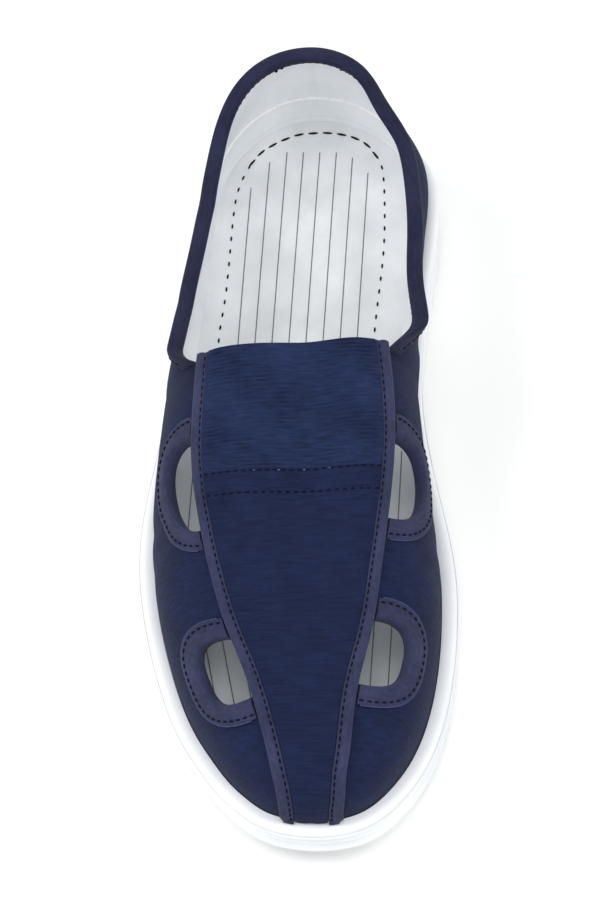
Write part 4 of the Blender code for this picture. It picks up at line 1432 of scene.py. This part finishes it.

# %% [markdown]
# ### The heel's lining
# A second piece of lining cups the heel. Its lower edge is sewn in an arc that shows as a soft ridge.
# Just under the tape the cut edge of the lining is rough. Short dark beads of navy thread there stand
# for the canvas in its notches, and they also paint the thin shade that the tape casts on the lining.

# %% Lining seam, and notches with painted shade at the heel
LINING_SEAM = 0.26        # share of the height from the lip to the collar
LINING_START = 0.86       # share of the sole's length
LINING_LIFT = 0.00002
NOTCH_AND_SHADE_LIFT = 0.0002
NOTCH_AND_SHADE_ABOVE, NOTCH_AND_SHADE_BELOW = 0.2, 0.9    # mm
HEEL_RADIUS = BALL_WIDTH * 0.36


def lining_arc():
    angles = np.linspace(station(LINING_START), math.pi, 60)
    lines = [side_point(angles, side, LINING_SEAM, -WALL - LINING_LIFT) for side in (LATERAL, MEDIAL)]
    return crease(np.concatenate([lines[0], lines[1][-2::-1]]))


pale_thread = thread_finish("pale_lining_thread", "e3e6e9", 0.6)
sew("heel_lining_seam", "navy_canvas", [lining_arc()], CORDS, {
    "Thread width": 0.0013, "Step": 0.002}, pale_thread)
# places of the dark beads, which paint both the lining's notches and the shade line under the collar's
# tape
NOTCH_AND_SHADE_MARKS = (
    # place round the heel in mm from its middle, drop below the tape's edge in mm
    (-18.5, 0.1),
    (-9.0, 0.5),
    (-7.6, 0.0),
    (6.6, 0.4),
    (7.9, 0.1),
    (19.0, 0.2),
)


def notch_and_shade_path(place, drop):
    side = MEDIAL if place > 0 else LATERAL
    angle = math.pi - abs(place) * MM / HEEL_RADIUS
    height = float(HEEL_HEIGHT * collar_share(along(angle)) - lip(angle))
    edge = COLLAR_TAPE_WIDTH * INNER_FLAP
    rows = [1 - (edge + step * MM) / height for step in (drop - NOTCH_AND_SHADE_ABOVE, drop + NOTCH_AND_SHADE_BELOW)]
    return [side_point(np.array(angle), side, row, -WALL - NOTCH_AND_SHADE_LIFT).tolist() for row in rows]


# dark beads: partly notches in the lining, partly painted shade under the tape
sew("lining_notches_and_painted_shade", "navy_canvas", [notch_and_shade_path(*row) for row in NOTCH_AND_SHADE_MARKS], STITCHES, {
    "Pitch": 0.0009, "Stitch length": 0.0012, "Thread width": 0.0011}, navy_thread)

# %% [markdown]
# ## Floor, light and camera
# The picture is taken from above and a little in front. Large soft lights at the left, above, at the
# right and in front stand in a bright room, so the shadows are faint. The floor is a plain pale sheet.

# %% Floor and room
FLOOR_REACH = 3
floor_corners = [(x * FLOOR_REACH, y * FLOOR_REACH, 0) for x, y in ((-1, -1), (1, -1), (1, 1), (-1, 1))]
floor_mesh = bpy.data.meshes.new("floor")
floor_mesh.from_pydata(floor_corners, [], [(0, 1, 2, 3)])
floor = bpy.data.objects.new("floor", floor_mesh)
bpy.context.scene.collection.objects.link(floor)
floor_sheet, _, floor_shader = new_finish("pale_floor_sheet", 0.9)
floor_shader.inputs["Base Color"].default_value = linear("f7f7f5")
floor_mesh.materials.append(floor_sheet)
print("floor:", 2 * FLOOR_REACH, "m wide")

scene = bpy.context.scene
scene.view_settings.view_transform = 'Standard'
room = bpy.data.worlds.new("bright_room")
scene.world = room
room.use_nodes = True
sky = room.node_tree.nodes["Background"]
sky.inputs["Color"].default_value = (0.96, 0.98, 1.0, 1.0)
sky.inputs["Strength"].default_value = 0.55

# %% Lights
LIGHT_TARGET = (0, 0, 0.03)
SOFTBOXES = (
    # name, place, size in metres, power in watts
    ("left_softbox", (-1.2, 0.1, 1.4), 1.0, 12),
    ("top_softbox", (0.15, -0.1, 1.8), 1.0, 8),
    ("right_softbox", (1.2, 0.1, 1.2), 1.2, 8),
    ("front_softbox", (-0.2, -1.5, 1.1), 1.2, 9),
)
for name, place, width, power in SOFTBOXES:
    lamp = bpy.data.lights.new(name, 'AREA')
    lamp.shape = 'DISK'
    lamp.size = width
    lamp.energy = power
    item = bpy.data.objects.new(name, lamp)
    scene.collection.objects.link(item)
    item.location = place
    item.rotation_euler = (Vector(LIGHT_TARGET) - Vector(place)).to_track_quat('-Z', 'Y').to_euler()
print("soft lights:", len(SOFTBOXES))

# %% [markdown]
# ### The camera
# The camera is first aimed level at a point beside the shoe. Then it takes the smallest turn that brings
# the shoe to the middle of the picture, so the shoe keeps its slight turn and doesn't lean.

# %% Camera
CAMERA_PLACE = (0.0666, -0.3964, 0.8033)
PICTURE_MIDDLE = (0.0602, 0.0093, 0.0)
CAMERA_TARGET = (-0.0003, -0.003, 0.030)
CAMERA_LENS = 109.0
camera_data = bpy.data.cameras.new("photo_camera")
camera_data.sensor_width = 36.0
camera_data.lens = CAMERA_LENS
camera = bpy.data.objects.new("photo_camera", camera_data)
scene.collection.objects.link(camera)
camera.location = CAMERA_PLACE
level = (Vector(PICTURE_MIDDLE) - Vector(CAMERA_PLACE)).to_track_quat('-Z', 'Y')
sight = Vector(CAMERA_TARGET) - Vector(CAMERA_PLACE)
camera.rotation_euler = ((level @ Vector((0, 0, -1))).rotation_difference(sight) @ level).to_euler()
scene.camera = camera
slope = math.degrees(math.atan2(-sight.z, math.hypot(sight.x, sight.y)))
print("the camera looks down at", round(slope, 1), "degrees")
